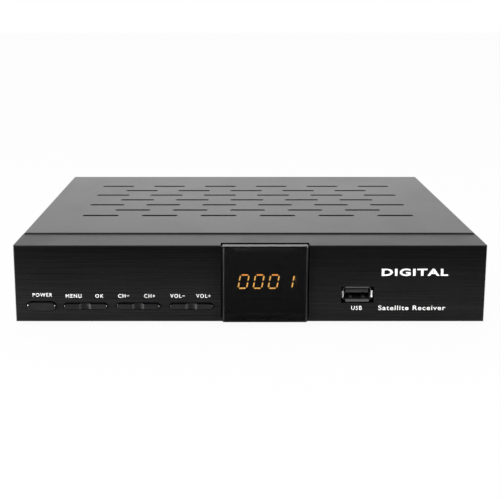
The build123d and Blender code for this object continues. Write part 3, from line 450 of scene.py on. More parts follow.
# %% Cover paint
tree, shader = finish("cover_paint", Roughness=0.3)
fine = use(tree, grain, Grain_per_m=2600.0, Clouds_per_m=18.0)
marks = use(tree, smudges, Smudges_per_m=11.0)
lying = use(tree, dust, Amount=0.10)
rubbed = use(tree, wear, Width=0.0005, Amount=0.22)
coat = shade(tree, fine["Clouds"], (0.017, 0.017, 0.018), (0.023, 0.023, 0.0245))
coat = shade(tree, rubbed["Edge"], coat, (0.07, 0.07, 0.072))
coat = shade(tree, lying["Dust"], coat, (0.20, 0.19, 0.18))
cloudy = ramp(tree, fine["Clouds"], 0, 1, 0.29, 0.33)
rough = maths(tree, "ADD", cloudy, ramp(tree, marks["Smudge"], 0, 1, 0, 0.03))
wire(tree, shader, Base_Color=coat, Roughness=rough, Normal=bump(tree, fine["Grain"], 0.000006))
tell("cover_paint")

# %% [markdown]
# ### The moulded front
# The front is one black moulding, but only the face that looks forward is brushed, with fine level
# lines under a thin gloss. Its top and sides are a plain satin moulding. The direction of the normal
# tells the two apart, so one material does both. Light that comes up from the table makes the brushed
# face a little lighter low down, most of all on the left, but not at its very bottom. A mask along the
# face does this more calmly than another lamp, which would light the keys as well.

# %% Front plastic
LIGHT_FROM_Z, LIGHT_FULL_Z, BOTTOM_Z = 38 * MM, 10 * MM, 1 * MM
LIGHT_RIGHT_X, LIGHT_LEFT_X = 100 * MM, -110 * MM
tree, shader = finish("front_plastic")
lines = use(tree, brushing, Lines_per_m=3200.0, Draw=0.008)
fine = use(tree, grain, Grain_per_m=3000.0, Clouds_per_m=30.0)
rubbed = use(tree, wear, Width=0.0002, Amount=0.3)
forward = ramp(tree, facing(tree)["Y"], -0.6, -0.9)
brushed = shade(tree, lines["Lines"], (0.0002, 0.0002, 0.0003), (0.0020, 0.0020, 0.0022))
brushed = shade(tree, product(tree, lines["Streaks"], 0.3), brushed, (0.006, 0.006, 0.0063))
lit = shade(tree, lines["Lines"], (0.008, 0.008, 0.0082), (0.014, 0.014, 0.0143))
place = spot(tree)
downward = ramp(tree, place["Z"], LIGHT_FROM_Z, LIGHT_FULL_Z)
bottom = ramp(tree, place["Z"], BOTTOM_Z, LIGHT_FULL_Z, 0.2)
leftward = ramp(tree, place["X"], LIGHT_RIGHT_X, LIGHT_LEFT_X, 0.72, 1.0)
brushed = shade(tree, product(tree, product(tree, downward, bottom), leftward), brushed, lit)
plain = shade(tree, fine["Clouds"], (0.016, 0.016, 0.0165), (0.022, 0.022, 0.0225))
body = shade(tree, rubbed["Edge"], shade(tree, forward, plain, brushed), (0.04, 0.04, 0.04))
tell("front_plastic")

# %% [markdown]
# The gaps round the keys, the window and the socket are the darkest lines of the front: their walls
# face each other and lie in shade. That shade is painted: the same moulding has those walls, so a mask
# finds them. They lie behind the front face, and well inside the top, the bottom and the sides of the
# moulding. Colour and gloss both fall there as painted shade. After that the roughness and the bump
# finish the front.

# %% Painted shade in the gaps of the front
FACE, SKIN, DEEPER = 0.1 * MM, 0.6 * MM, 1.6 * MM
front_low, front_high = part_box("front_bezel")
front_half = (front_high.x - front_low.x) / 2
aside = distance(tree, place["X"], (front_low.x + front_high.x) / 2)
within = ramp(tree, aside, front_half - SKIN, front_half - DEEPER)
within = product(tree, within, ramp(tree, place["Z"], front_high.z - SKIN, front_high.z - DEEPER))
within = product(tree, within, ramp(tree, place["Z"], front_low.z + SKIN, front_low.z + DEEPER))
deep = product(tree, within, ramp(tree, place["Y"], front_low.y + FACE, front_low.y + SKIN))
# Painted shade: the walls of the gaps are darkened nearly to black, and their gloss falls below.
body = shade(tree, deep, body, (0.002, 0.002, 0.002))
marks = use(tree, smudges, Smudges_per_m=16.0)
face_lines = product(tree, lines["Lines"], forward)
rough = maths(tree, "ADD", ramp(tree, face_lines, 0, 1, 0.24, 0.30), ramp(tree, forward, 1, 0, 0, 0.07))
rough = maths(tree, "ADD", rough, ramp(tree, marks["Smudge"], 0, 1, 0, 0.05))
height = maths(tree, "ADD", face_lines, product(tree, fine["Grain"], 0.3))
wire(tree, shader, Base_Color=body, Roughness=rough, Normal=bump(tree, height, 0.000008))
wire(tree, shader, Specular_IOR_Level=ramp(tree, deep, 0, 1, 0.22, 0.04))
tell("front_plastic")

# %% [markdown]
# The keys are a plain black moulding, lighter and smoother than the front, with the finest grain. What
# faces up on a key lies under the edge of its opening and gets little light, so it is darker and has
# less gloss. Without this the keys would seem to stand far out of the front.

# %% Key plastic
tree, shader = finish("key_plastic")
fine = use(tree, grain, Grain_per_m=5200.0, Clouds_per_m=120.0)
rubbed = use(tree, wear, Width=0.0003, Amount=0.5)
body = shade(tree, fine["Clouds"], (0.007, 0.007, 0.0074), (0.011, 0.011, 0.0114))
body = shade(tree, rubbed["Edge"], body, (0.04, 0.04, 0.04))
upward = ramp(tree, facing(tree)["Z"], 0.1, 0.5)
body = shade(tree, upward, body, (0.003, 0.003, 0.003))
wire(tree, shader, Specular_IOR_Level=ramp(tree, upward, 0, 1, 0.5, 0.1))
wire(tree, shader, Base_Color=body, Roughness=ramp(tree, fine["Clouds"], 0, 1, 0.27, 0.33))
wire(tree, shader, Normal=bump(tree, fine["Grain"], 0.000003))
tell("key_plastic")

# %% [markdown]
# The window is smoked acrylic. It is real glass to the renderer, tinted, and the lit digits are seen
# through it; its polish has only faint wipe marks. Polishing rounds the edges of acrylic a little, so
# a Bevel node softens them, and they catch a line of light. The side edges are only sawn: they are
# satin and darker, and pass little of the digits' light.

# %% Smoked window
tree, shader = finish("smoked_window", Transmission_Weight=1.0, IOR=1.49, Roughness=0.0)
marks = use(tree, smudges, Smudges_per_m=30.0)
tint = shade(tree, marks["Smudge"], (0.068, 0.068, 0.071), (0.074, 0.074, 0.077))
sawn = ramp(tree, maths(tree, "ABSOLUTE", facing(tree)["X"]), 0.3, 0.6)
tint = shade(tree, sawn, tint, (0.008, 0.008, 0.008))
softened = node(tree, "ShaderNodeBevel", {"Radius": 0.5 * MM}, samples=8).outputs["Normal"]
wire(tree, shader, Base_Color=tint, Roughness=ramp(tree, sawn, 0, 1, 0.0, 0.21), Normal=softened)
tell("smoked_window")

# %% [markdown]
# ### Metals
# Plated sheet, screws, sockets and nuts differ in colour, in how rough they are and in the size of
# their grain. One function makes them all: rolling or turning lines, a cloudy plating and worn edges.
# The tray's hot-dip plating also has spangle, flat crystals in cells, for which Voronoi is the texture.

# %% Metals
def metal(name, dark, light, rough_low, rough_high, draw=0.03, depth=0.000002, cells=0.0):
    """A plated metal: the smaller `draw`, the longer its lines; `cells` per metre make spangle."""
    tree, shader = finish(name, Metallic=1.0)
    lines = use(tree, brushing, Lines_per_m=2600.0, Draw=draw)
    fine = use(tree, grain, Grain_per_m=1800.0, Clouds_per_m=90.0)
    rubbed = use(tree, wear, Width=0.00025, Amount=0.6)
    mask = maths(tree, "ADD", product(tree, fine["Clouds"], 0.6), product(tree, lines["Lines"], 0.4))
    if cells:
        spangle = node(tree, "ShaderNodeTexVoronoi", {"Vector": space(tree), "Scale": cells})
        tone = node(tree, "ShaderNodeSeparateXYZ", {0: spangle.outputs["Color"]}).outputs[0]
        mask = maths(tree, "ADD", product(tree, mask, 0.5), product(tree, tone, 0.5))
    colour = shade(tree, mask, dark, light)
    bright = tuple(min(1.0, channel * 1.2) for channel in light)
    wire(tree, shader, Base_Color=shade(tree, rubbed["Edge"], colour, bright))
    wire(tree, shader, Roughness=ramp(tree, mask, 0, 1, rough_low, rough_high))
    wire(tree, shader, Normal=bump(tree, lines["Lines"], depth))
    tell(name)


metal("plated_steel", (0.46, 0.47, 0.46), (0.60, 0.61, 0.61), 0.28, 0.42, cells=160.0)
metal("zinc_screw", (0.52, 0.52, 0.50), (0.66, 0.66, 0.64), 0.22, 0.36)
metal("nickel", (0.62, 0.61, 0.58), (0.72, 0.71, 0.69), 0.12, 0.24, depth=0.000001)
metal("aluminium", (0.62, 0.62, 0.64), (0.74, 0.74, 0.76), 0.26, 0.40, draw=0.01)
metal("tin_plate", (0.58, 0.58, 0.57), (0.68, 0.68, 0.67), 0.18, 0.32)
metal("stamped_shell", (0.42, 0.42, 0.41), (0.54, 0.54, 0.53), 0.34, 0.46)
metal("contact_gold", (0.72, 0.52, 0.20), (0.83, 0.63, 0.28), 0.16, 0.28, depth=0.000001)
metal("black_screw", (0.030, 0.030, 0.032), (0.055, 0.055, 0.058), 0.32, 0.46)

# %% [markdown]
# The front socket's shell is stamped from thin sheet and bent outwards into four lips. Its plating shows
# bright on the lips, while in the bends and inside, where the shell lies in shade, its colour is a
# painted shade. The distance from the socket's middle tells the two apart, and the long lips show their
# plating only near their ends.

# %% Stamped shell
SHELL_FLARE = 0.7 * MM
SIDE_SHADE_FADE, LONG_SHADE_REACH, LONG_SHADE_FADE_END = 0.15 * MM, 0.25 * MM, 0.5 * MM
shell_low, shell_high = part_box("usb_shell")
shell_middle = (shell_low + shell_high) / 2
mouth = (shell_high - shell_low) / 2 - Vector((SHELL_FLARE, 0, SHELL_FLARE))
tree = finishes["stamped_shell"].node_tree
shader = tree.nodes["Principled BSDF"]
plating = shader.inputs["Base Color"].links[0].from_socket
place = spot(tree)
aside = distance(tree, place["X"], shell_middle.x)
above = distance(tree, place["Z"], shell_middle.z)
side_lip = ramp(tree, aside, mouth.x, mouth.x + SIDE_SHADE_FADE)
long_lip = ramp(tree, above, mouth.z + LONG_SHADE_REACH, mouth.z + LONG_SHADE_FADE_END)
unshaded_lip = maths(tree, "MAXIMUM", side_lip, long_lip)
# Painted shade: inside and in the bends the shell is a flat dark grey, and the plating shows on the
# lips.
wire(tree, shader, Base_Color=shade(tree, unshaded_lip, (0.16, 0.16, 0.16), plating))
print("front socket's mouth mm", mm(2 * mouth.x, 2 * mouth.z))

# %% [markdown]
# ### Mouldings
# Feet, sockets, insulators and the packages of the parts on the boards are plain mouldings: a colour
# with slight clouds, a grain in the bump, and paler dust or rubbed edges. One function serves them all.

# %% Mouldings
def moulding(name, dark, light, rough_low, rough_high, grain_per_m=2600.0, depth=0.000006):
    tree, shader = finish(name)
    fine = use(tree, grain, Grain_per_m=grain_per_m, Clouds_per_m=140.0)
    rubbed = use(tree, wear, Width=0.0003, Amount=0.3)
    lying = use(tree, dust, Amount=0.2)
    pale = tuple(min(1.0, channel * 1.5 + 0.03) for channel in light)
    body = shade(tree, rubbed["Edge"], shade(tree, fine["Clouds"], dark, light), pale)
    wire(tree, shader, Base_Color=shade(tree, lying["Dust"], body, (0.32, 0.31, 0.29)))
    wire(tree, shader, Roughness=ramp(tree, fine["Grain"], 0, 1, rough_low, rough_high))
    wire(tree, shader, Normal=bump(tree, fine["Grain"], depth))


moulding("foot_rubber", (0.016, 0.016, 0.016), (0.028, 0.028, 0.028), 0.72, 0.9, 1700.0, 0.00002)
moulding("black_component", (0.014, 0.014, 0.015), (0.026, 0.026, 0.027), 0.38, 0.55)
moulding("sensor_plastic", (0.030, 0.008, 0.012), (0.045, 0.012, 0.018), 0.12, 0.2, depth=0.000001)
moulding("grey_insulator", (0.28, 0.28, 0.285), (0.36, 0.36, 0.365), 0.35, 0.5)
moulding("dark_insulator", (0.030, 0.030, 0.031), (0.042, 0.042, 0.043), 0.35, 0.5)
moulding("white_insulator", (0.70, 0.70, 0.66), (0.80, 0.80, 0.76), 0.35, 0.5)
moulding("phono_red", (0.48, 0.012, 0.012), (0.60, 0.022, 0.02), 0.22, 0.34, depth=0.000003)
moulding("phono_white", (0.74, 0.74, 0.71), (0.82, 0.82, 0.79), 0.22, 0.34, depth=0.000003)
moulding("phono_orange", (0.78, 0.20, 0.015), (0.88, 0.27, 0.025), 0.22, 0.34, depth=0.000003)
moulding("phono_yellow", (0.78, 0.58, 0.02), (0.88, 0.68, 0.035), 0.22, 0.34, depth=0.000003)
print("mouldings done,", len(finishes), "finishes so far")

# %% [markdown]
# ### Boards, capacitors and the ribbon
# The boards have green resist over copper tracks. Only glimpses of them are seen through the slots, so
# two textures will do instead of a drawn layout: cells of a Voronoi texture with square corners give
# the tracks, and a second one the plated holes.

# %% Circuit board
tree, shader = finish("circuit_board", Specular_IOR_Level=0.5)
place = space(tree)
squares = {"feature": "F2", "distance": "CHEBYCHEV"}
tracks = node(tree, "ShaderNodeTexVoronoi", {"Vector": place, "Scale": 260.0}, **squares)
holes = node(tree, "ShaderNodeTexVoronoi", {"Vector": place, "Scale": 190.0})
track = ramp(tree, maths(tree, "PINGPONG", tracks.outputs["Distance"], 0.12), 0.05, 0.07)
hole = ramp(tree, holes.outputs["Distance"], 0.10, 0.07)
fine = use(tree, grain, Grain_per_m=2200.0, Clouds_per_m=60.0)
resist = shade(tree, track, (0.008, 0.075, 0.030), (0.014, 0.135, 0.055))
resist = shade(tree, product(tree, fine["Clouds"], 0.25), resist, (0.004, 0.06, 0.02))
wire(tree, shader, Base_Color=shade(tree, hole, resist, (0.55, 0.52, 0.42)))
wire(tree, shader, Roughness=ramp(tree, track, 0, 1, 0.34, 0.24), Metallic=product(tree, hole, 0.9))
wire(tree, shader, Normal=bump(tree, maths(tree, "ADD", track, hole), 0.00003))
tell("circuit_board")

# %% [markdown]
# An electrolytic capacitor is an aluminium can in a dark shrunk sleeve that stops short of its top.
# The sleeve could be a second mesh, but it is as thin as paper, so the normal does it: what faces
# straight up is bare metal, and the rest is sleeve.

# %% Capacitor sleeve
tree, shader = finish("capacitor_sleeve")
bare = ramp(tree, facing(tree)["Z"], 0.7, 0.72)
fine = use(tree, grain, Grain_per_m=2200.0, Clouds_per_m=160.0)
sleeve = shade(tree, fine["Clouds"], (0.020, 0.024, 0.050), (0.032, 0.038, 0.072))
wire(tree, shader, Base_Color=shade(tree, bare, sleeve, (0.62, 0.62, 0.63)), Metallic=bare)
wire(tree, shader, Roughness=ramp(tree, fine["Grain"], 0, 1, 0.2, 0.3))
wire(tree, shader, Normal=bump(tree, fine["Grain"], 0.000004))
tell("capacitor_sleeve")

# %% [markdown]
# The ribbon joins the two boards. It has a groove between each two of its cores. A wave with the pitch
# of the cores gives the round skin in the bump, and a dark line of painted shade in the colour between
# the cores.

# %% Ribbon
CORE_PITCH = 1.27 * MM
tree, shader = finish("ribbon_grey")
core = maths(tree, "PINGPONG", maths(tree, "DIVIDE", spot(tree)["X"], CORE_PITCH), 0.5)
round_core = ramp(tree, core, 0.0, 0.5)
groove_shade = ramp(tree, core, 0.12, 0.0)
fine = use(tree, grain, Grain_per_m=2000.0, Clouds_per_m=60.0)
skin = shade(tree, fine["Clouds"], (0.40, 0.40, 0.40), (0.48, 0.48, 0.48))
# Painted shade: a dark line between each two cores.
wire(tree, shader, Base_Color=shade(tree, groove_shade, skin, (0.17, 0.17, 0.17)))
wire(tree, shader, Roughness=ramp(tree, fine["Grain"], 0, 1, 0.42, 0.55))
wire(tree, shader, Normal=bump(tree, round_core, 0.0003))
tell("ribbon_grey")

# %% [markdown]
# Each CAD node came in with one material named after its slot, so dressing the whole model is one
# loop that swaps it for the finish of the same name. The front socket is then set apart: its shell is
# stamped and satin, where the turned connectors are polished, and its tongue is darker.

# %% Dress the nodes
bare_nodes = []
for name, piece in nodes.items():
    for slot in piece.material_slots:
        if slot.material.name in finishes:
            slot.material = finishes[slot.material.name]
        else:
            bare_nodes.append(name)
nodes["usb_shell"].material_slots[0].material = finishes["stamped_shell"]
nodes["usb_tongue"].material_slots[0].material = finishes["dark_insulator"]
print("dressed", len(nodes) - len(bare_nodes), "nodes; without a finish:", bare_nodes)

# %% [markdown]
# What CAD leaves out is modelled from here on. Every new piece gets one finish and is told to ride on
# the receiver's body, so that it stays in its place when the model is posed.

# %% Fitting a new piece
def fit(piece, finish_name):
    piece.data.materials.clear()
    piece.data.materials.append(finishes[finish_name])
    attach(piece, "receiver")
    print(piece.name, mm(*piece.dimensions), len(piece.data.polygons), "faces")


print("fitting helper ready")

# %% [markdown]
# ## Printed words
# The words are printed in ink a few hundredths of a millimetre thick, white on the black front and
# black on the metal back. An image laid on the face would do from afar, but real thin letters stay
# sharp from near. The ink itself is chalky, with a little grain.

# %% Ink
INKS = {
    "white_ink": ((0.72, 0.72, 0.71), (0.84, 0.84, 0.83)),
    "black_ink": ((0.014, 0.014, 0.015), (0.026, 0.026, 0.028)),
}
for name, (dark, light) in INKS.items():
    tree, shader = finish(name)
    fine = use(tree, grain, Grain_per_m=6000.0, Clouds_per_m=500.0)
    wire(tree, shader, Base_Color=shade(tree, fine["Clouds"], dark, light))
    wire(tree, shader, Roughness=ramp(tree, fine["Grain"], 0, 1, 0.45, 0.6))
    wire(tree, shader, Normal=bump(tree, fine["Grain"], 0.000002))
    tell(name)

# %% [markdown]
# Each word is a text object in the default font, made a little bolder with the curve's offset and
# turned into a mesh. The offset fails on the M, whose inner corners are so sharp that the outline
# crosses itself and fills them. A word with an M is therefore thickened after it is a mesh: its
# doubled corners are merged, and it is fattened evenly.

# %% A word as a mesh
HALF_DEPTH = 0.5
SHARP_CORNER = 0.004


def letters(text, weight, spacing):
    """A word as a mesh, lying flat at the origin, in the font's own size."""
    let_go()
    bpy.ops.object.text_add(location=(0, 0, 0))
    word = bpy.context.active_object
    sharp = "M" in text
    word.data.body = text
    word.data.offset = 0.0 if sharp else weight
    word.data.extrude = HALF_DEPTH
    word.data.space_character = spacing
    word.data.resolution_u = 6
    bpy.ops.object.convert(target="MESH")
    if sharp:
        bpy.ops.object.mode_set(mode="EDIT")
        bpy.ops.mesh.select_all(action="SELECT")
        bpy.ops.mesh.remove_doubles(threshold=SHARP_CORNER)
        bpy.ops.transform.shrink_fatten(value=weight, use_even_offset=True)
        bpy.ops.object.mode_set(mode="OBJECT")
    return bpy.context.active_object


print("letters start", 2 * HALF_DEPTH, "deep")

# %% [markdown]
# The mesh is then stretched to the printed width and height and pressed to the ink's thickness. Its
# back lies just inside the panel, so that no light shows under it. A word on the back is turned half
# round to be read from behind, and every word rides on the receiver's body.

# %% Printing a word
FRONT_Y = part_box("front_bezel")[0].y
REAR_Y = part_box("chassis_tray")[1].y
BASE_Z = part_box("front_bezel")[0].z
INK = 0.03 * MM
PROUD = 0.3 * INK
MINUS = "\u2212"


def printed_word(text, middle_x, middle_z, width, height, weight, spacing, rear=False):
    """One printed word, centred on the front or the back at that place in millimetres."""
    word = letters(text, weight, spacing)
    low = Vector([min(v.co[i] for v in word.data.vertices) for i in range(3)])
    high = Vector([max(v.co[i] for v in word.data.vertices) for i in range(3)])
    size = high - low
    word.scale = (width * MM / size.x, height * MM / size.y, INK / size.z)
    side = -1 if rear else 1
    word.rotation_euler = (math.pi / 2, 0, math.pi if rear else 0)
    middle = (low + high) / 2
    word.location = (
        middle_x * MM - side * middle.x * word.scale.x,
        REAR_Y + PROUD if rear else FRONT_Y - PROUD,
        BASE_Z + middle_z * MM - middle.y * word.scale.y,
    )
    spoken = text.replace("+", "_up").replace(MINUS, "_down").replace(" ", "_").lower()
    settle(word, f"rear_word_{spoken}" if rear else f"word_{spoken}")
    fit(word, "black_ink" if rear else "white_ink")


print("ink", mm(INK), "mm thick")

# %% [markdown]
# On the front, each key's word stands over its end of the key. The minus is the true sign, since a
# hyphen is shorter than the plus. The rows give a word, its middle across and above the front's lower
# edge, its width and height in millimetres, its weight and its spacing.

# %% Words
words = [
    ("POWER", -97.2, 13.05, 9.2, 1.80, 0.010, 1.26),
    ("MENU", -82.6, 12.55, 7.35, 1.80, 0.010, 1.26),
    ("OK", -70.55, 12.55, 3.85, 1.80, 0.008, 1.32),
    ("CH" + MINUS, -59.15, 12.55, 5.2, 1.80, 0.012, 1.24),
    ("CH+", -47.0, 12.55, 5.1, 1.80, 0.010, 1.32),
    ("VOL" + MINUS, -33.9, 12.55, 6.9, 1.80, 0.012, 1.22),
    ("VOL+", -21.8, 12.55, 6.8, 1.80, 0.010, 1.28),
    ("USB", 50.05, 6.7, 5.0, 1.95, 0.004, 1.16),
    ("DIGITAL", 76.9, 24.1, 31.0, 3.5, 0.03, 1.14),
    ("Satellite Receiver", 76.0, 6.75, 31.5, 2.25, 0.008, 1.14),
]
for row in words:
    printed_word(*row)

# %% [markdown]
# On the back, a small word names each socket, over it where there is room and else beside it. All
# have the same height and weight, since one printing screen makes them all.

# %% Words on the back
REAR_HEIGHT, REAR_WEIGHT = 1.9, 0.006
rear_words = [
    ("LNB IN", 77.5, 24.0, 9.6, 1.15),
    ("LNB OUT", 53.5, 24.0, 12.0, 1.15),
    ("VIDEO", 40.4, 28.0, 8.0, 1.15),
    ("L", 38.0, 14.4, 1.0, 1.15),
    ("R", 7.2, 17.6, 1.2, 1.15),
    ("COAX", 4.6, 26.6, 7.4, 1.15),
    ("DIGITAL OUT", -6.5, 17.4, 14.6, 1.12),
    ("TV", -46.25, 27.2, 3.4, 1.15),
    ("DC 12V", -83.0, 21.6, 9.4, 1.15),
]
for text, middle_x, middle_z, width, spacing in rear_words:
    printed_word(text, middle_x, middle_z, width, REAR_HEIGHT, REAR_WEIGHT, spacing, rear=True)

# %% [markdown]
# ## The lit digits
# The display is a block with four seven-segment digits, seen through the smoked window. The segments
# glow amber, a little redder in the top bar, strongly enough to be seen through the smoke. An
# emission in the segments' own material does that, where a lamp behind them would light the whole
# block. Segments that are off are a dull grey.

# %% Light in the segments
AMBER_Z, REDDER_Z, GLOW = 23.0 * MM, 23.6 * MM, 14.0
tree, shader = finish("lit_segment", Roughness=0.4)
fine = use(tree, grain, Grain_per_m=900.0, Clouds_per_m=500.0)
redder = ramp(tree, spot(tree)["Z"], AMBER_Z, REDDER_Z)
amber = shade(tree, redder, (0.86, 0.47, 0.115), (0.95, 0.33, 0.06))
amber = shade(tree, product(tree, fine["Clouds"], 0.35), amber, (0.70, 0.30, 0.05))
wire(tree, shader, Base_Color=amber, Emission_Color=amber)
shader.inputs["Emission Strength"].default_value = GLOW
tell("lit_segment")

tree, shader = finish("unlit_segment", Roughness=0.45)
fine = use(tree, grain, Grain_per_m=900.0, Clouds_per_m=500.0)
wire(tree, shader, Base_Color=shade(tree, fine["Clouds"], (0.10, 0.095, 0.085), (0.13, 0.125, 0.11)))
tell("unlit_segment")

# %% [markdown]
# A segment is a flat bar with pointed ends. It could be drawn point by point, but a six-sided cylinder
# already has the points: its upper and lower halves are pulled apart. The level bars are the same bar
# turned a quarter.

# %% One segment
module_low, module_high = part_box("display_module")
DIGITS_RIGHT, DIGITS_UP = 0.23 * MM, 0.25 * MM
DIGIT_X = (module_low.x + module_high.x) / 2 + DIGITS_RIGHT
DIGIT_Z = (module_low.z + module_high.z) / 2 + DIGITS_UP
BAR, LENS = 0.66 * MM, 0.06 * MM
POINT = BAR / math.sqrt(3)


def segment(middle_x, middle_z, length, level):
    """One bar with pointed ends, proud of the display block by the height of its lens."""
    let_go()
    place = (middle_x, module_low.y, middle_z)
    bpy.ops.mesh.primitive_cylinder_add(
        vertices=6, radius=POINT, depth=2 * LENS, location=place, rotation=(math.pi / 2, 0, 0)
    )
    bar = settle(bpy.context.active_object, "segment")
    stretch = (length - 2 * POINT) / 2
    for side in (1, -1):
        pick(bar, lambda middle, element: side * (middle.z - middle_z) > 0)
        bpy.ops.transform.translate(value=(0, 0, side * stretch))
    if level:
        bpy.ops.mesh.select_all(action="SELECT")
        bpy.ops.transform.rotate(value=math.pi / 2, orient_axis="Y", center_override=place)
    let_go()
    return bar


print("digits' middle mm", mm(DIGIT_X, DIGIT_Z))

# %% [markdown]
# Seven bars make an eight, and each lit digit leaves some of them dark. The table gives each bar's
# middle from the digit's middle, its length, and whether it lies level. Bars end short of each other,
# so that the points of two neighbours leave a thin dark line between them.

# %% Seven bars
DIGIT_HIGH, DIGIT_WIDE, DIGIT_PITCH = 7.22 * MM, 4.72 * MM, 7.17 * MM
BAR_GAP = 0.86 * MM
half_high, half_wide = (DIGIT_HIGH - BAR) / 2, (DIGIT_WIDE - BAR) / 2
upright, across = half_high - BAR_GAP, 2 * half_wide - BAR_GAP
SEGMENTS = {
    "top": (0, half_high, across, True),
    "upper_right": (half_wide, half_high / 2, upright, False),
    "lower_right": (half_wide, -half_high / 2, upright, False),
    "bottom": (0, -half_high, across, True),
    "lower_left": (-half_wide, -half_high / 2, upright, False),
    "upper_left": (-half_wide, half_high / 2, upright, False),
    "middle": (0, 0, across, True),
}
ZERO = {"top", "upper_right", "lower_right", "bottom", "lower_left", "upper_left"}
ONE = {"upper_right", "lower_right"}
print("bars mm", mm(upright, across))

# %% [markdown]
# Each digit's lit bars are joined into one piece and its dark ones into another. The digit leans. The
# shear operator leans what is selected about its own middle, and the lit bars' middle isn't always the
# digit's, so each vertex is moved to the right by its height over the digit's middle.

# %% Digits
LEAN = math.tan(math.radians(10))


def digit(name, middle_x, lit):
    for state, wanted in (("lit", lit), ("unlit", set(SEGMENTS) - lit)):
        bars = []
        for title in sorted(wanted):
            x, z, length, level = SEGMENTS[title]
            bars.append(segment(middle_x + x, DIGIT_Z + z, length, level))
        whole = joined(bars, f"{name}_{state}")
        for vertex in whole.data.vertices:
            vertex.co.x += LEAN * (vertex.co.z - DIGIT_Z)
        fit(whole, f"{state}_segment")


for number, lit in enumerate((ZERO, ZERO, ZERO, ONE)):
    digit(f"digit_{number + 1}", DIGIT_X + (number - 1.5) * DIGIT_PITCH, lit)

# %% [markdown]
# ## Strips of sheet metal
# Contacts, springs and the legs of a chip are all narrow strips, bent along their length. A strip
# starts as a short cube, and its end face is extruded from bend to bend, as one would by hand.

# %% A strip
HAIR = 0.001 * MM


def strip(width, thickness, steps, place, turn=0.0):
    """A bent strip. `steps` are (along, up) in millimetres from `place`, along Y before the turn."""
    let_go()
    bpy.ops.mesh.primitive_cube_add(size=MM, location=(0, steps[0][0] / 2 * MM, 0))
    piece = bpy.context.active_object
    piece.scale = (width, steps[0][0], thickness)
    settle(piece, "strip")
    for along, up in steps[1:]:
        let_go()
        reach = max(vertex.co.y for vertex in piece.data.vertices)
        pick(piece, lambda middle, element: middle.y > reach - HAIR, "FACE")
        bpy.ops.mesh.extrude_region_move(TRANSFORM_OT_translate={"value": (0, along * MM, up * MM)})
    let_go()
    piece.rotation_euler = (0, 0, turn)
    piece.location = place
    return settle(piece, "strip")


print("strip helper ready")


# %% [markdown]
# A row of contacts is one strip and its copies. Each copy has a mesh of its own, so that a change to
# one leaves the others alone, and at the end all are joined.

# %% A row of strips
def copies(piece, moves, name, finish_name):
    made = [piece]
    for move in moves:
        copy = piece.copy()
        copy.data = piece.data.copy()
        bpy.context.scene.collection.objects.link(copy)
        copy.location = move
        made.append(copy)
    fit(joined(made, name), finish_name)


print("row helper ready")

# %% [markdown]
# Two springs are cut from the floor of the front socket and bent up, to press on the plug. Each rises
# towards the mouth and dips at its end, so that the plug rides over it.

# %% Springs in the front socket
SPRING_OFF, SPRING_ROOT_Y, SPRING_UP = 2.95 * MM, -71.8 * MM, 0.05 * MM
socket_low, socket_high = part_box("usb_tongue")
root = ((socket_low.x + socket_high.x) / 2 - SPRING_OFF, SPRING_ROOT_Y, socket_low.z + SPRING_UP)
rise = [(0.6, 0), (3.2, 0.45), (1.9, 0.4), (0.9, 0.1), (0.5, -0.05), (0.6, -0.35)]
spring = strip(width=1.5, thickness=0.25, steps=rise, place=root, turn=math.pi)
copies(spring, [(2 * SPRING_OFF, 0, 0)], "socket_springs", "stamped_shell")

# %% [markdown]
# The large rear socket has a contact in each of its twenty slots. A contact is a flat blade that
# stands upright in its slot, and narrows at the end that the plug meets. The two rows are half a
# pitch out of step.

# %% Contacts of the large rear socket
EURO_PITCH, EURO_ROWS, EURO_STEP = 3.81 * MM, 5.6 * MM, 3.81 / 4 * MM
IN_A_ROW, BLADE_DEEP, BLADE_TIP, TIP_SCALE = 10, 6.1 * MM, 4.2 * MM, (0.35, 1, 0.8)
euro_low, euro_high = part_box("scart_socket")
euro_x, euro_z = (euro_low.x + euro_high.x) / 2, (euro_low.z + euro_high.z) / 2
first_x = euro_x - EURO_STEP - (IN_A_ROW - 1) / 2 * EURO_PITCH
first = (first_x, euro_high.y - BLADE_DEEP, euro_z + EURO_ROWS / 2)
blade = strip(width=0.34, thickness=2.5, steps=[(3.6, 0), (0.7, 0)], place=first)
pick(blade, lambda middle, element: middle.y > first[1] + BLADE_TIP, "FACE")
bpy.ops.transform.resize(value=TIP_SCALE)
upper_row = [(i * EURO_PITCH, 0, 0) for i in range(1, IN_A_ROW)]
lower_row = [(i * EURO_PITCH + 2 * EURO_STEP, 0, -EURO_ROWS) for i in range(IN_A_ROW)]
let_go()
copies(blade, upper_row + lower_row, "euro_contacts", "nickel")

# %% [markdown]
# The small video socket has nineteen gilt contacts a millimetre apart, ten on top of its tongue and
# nine below, in the gaps between the ten.

# %% Contacts of the small video socket
TONGUE_UP, TONGUE_HALF = 0.4 * MM, 0.8 * MM
FINGERS, FINGER_PITCH, FINGERS_DEEP = 10, 1 * MM, 6.5 * MM
tongue_low, tongue_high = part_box("video_socket_tongue")
tongue_x = (tongue_low.x + tongue_high.x) / 2
tongue_z = (tongue_low.z + tongue_high.z) / 2 + TONGUE_UP
start_x = tongue_x - (FINGERS - 1) / 2 * FINGER_PITCH
start = (start_x, tongue_high.y - FINGERS_DEEP, tongue_z + TONGUE_HALF)
finger = strip(width=0.45, thickness=0.12, steps=[(5.6, 0), (0.3, -0.05)], place=start)
above = [(i * FINGER_PITCH, 0, 0) for i in range(1, FINGERS)]
below = [((i + 0.5) * FINGER_PITCH, 0, -2 * TONGUE_HALF) for i in range(FINGERS - 1)]
copies(finger, above + below, "video_contacts", "contact_gold")

# %% [markdown]
# The memory chip stands on two rows of legs. Each leg leaves the package level, drops to the board
# and turns out again, so that its foot can be soldered.

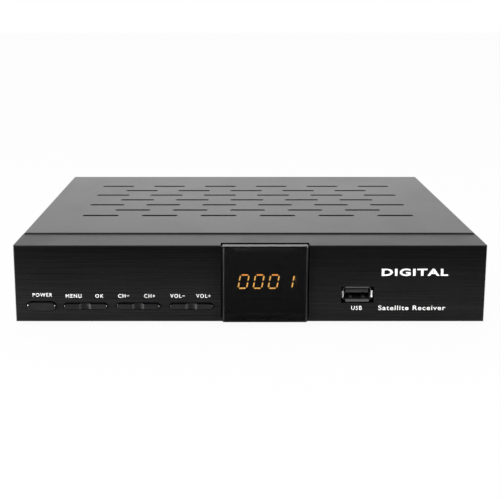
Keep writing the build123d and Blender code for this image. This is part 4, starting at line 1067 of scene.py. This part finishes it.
# %% Legs of the memory chip
LEG_PITCH, LEG_DOWN, LEGS = 0.8 * MM, 0.05 * MM, 27
LEG_STEPS = [(0.35, 0), (0.15, -0.1), (0.1, -0.28), (0.15, -0.07), (0.3, 0)]
chip_low, chip_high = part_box("memory_chip")
leg_y = (chip_low.y + chip_high.y) / 2 - (LEGS - 1) / 2 * LEG_PITCH
leg_z = (chip_low.z + chip_high.z) / 2 - LEG_DOWN
for side, edge, turn in (("right", chip_high.x, -math.pi / 2), ("left", chip_low.x, math.pi / 2)):
    leg = strip(width=0.34, thickness=0.13, steps=LEG_STEPS, place=(edge, leg_y, leg_z), turn=turn)
    copies(leg, [(0, i * LEG_PITCH, 0) for i in range(1, LEGS)], f"memory_legs_{side}", "tin_plate")

# %% [markdown]
# ## Threads on the aerial connectors
# A thread is a ridge with flanks at sixty degrees that climbs by its pitch in each turn. Its section
# is therefore an equilateral triangle, which is a circle of three vertices. The Screw modifier sweeps
# it round the connector, and its two open ends are then filled.

# %% Connector threads
PITCH = 25.4 / 32 * MM
SECTION = 0.36 * MM
TURNS = 9
BARREL_RADIUS, RIDGE_PROUD = 4.70 * MM, 0.26 * MM


def thread(name, connector):
    """The ridge of a thread round one connector, between its nut and its chamfered end."""
    low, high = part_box(connector)
    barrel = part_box("connector_nuts")[1].y
    let_go()
    crest = BARREL_RADIUS + RIDGE_PROUD
    bpy.ops.mesh.primitive_circle_add(
        vertices=3, radius=SECTION, location=(crest - SECTION, 0, 0), rotation=(0, 0, -math.pi / 2)
    )
    ridge = settle(bpy.context.active_object, name)
    turns = ridge.modifiers.new("turns", "SCREW")
    turns.axis, turns.screw_offset, turns.iterations = "Y", PITCH, TURNS
    turns.steps = turns.render_steps = 32
    turns.use_merge_vertices = True
    bpy.ops.object.modifier_apply(modifier=turns.name)
    bpy.ops.object.mode_set(mode="EDIT")
    bpy.ops.mesh.select_all(action="SELECT")
    bpy.ops.mesh.fill_holes(sides=3)
    bpy.ops.mesh.normals_make_consistent(inside=False)
    let_go()
    start_y = barrel + (high.y - barrel - TURNS * PITCH) / 2
    ridge.location = ((low.x + high.x) / 2, start_y, (low.z + high.z) / 2)
    fit(settle(ridge, name), "nickel")


for connector in ("lnb_connector", "loop_connector"):
    thread(connector.replace("connector", "thread"), connector)
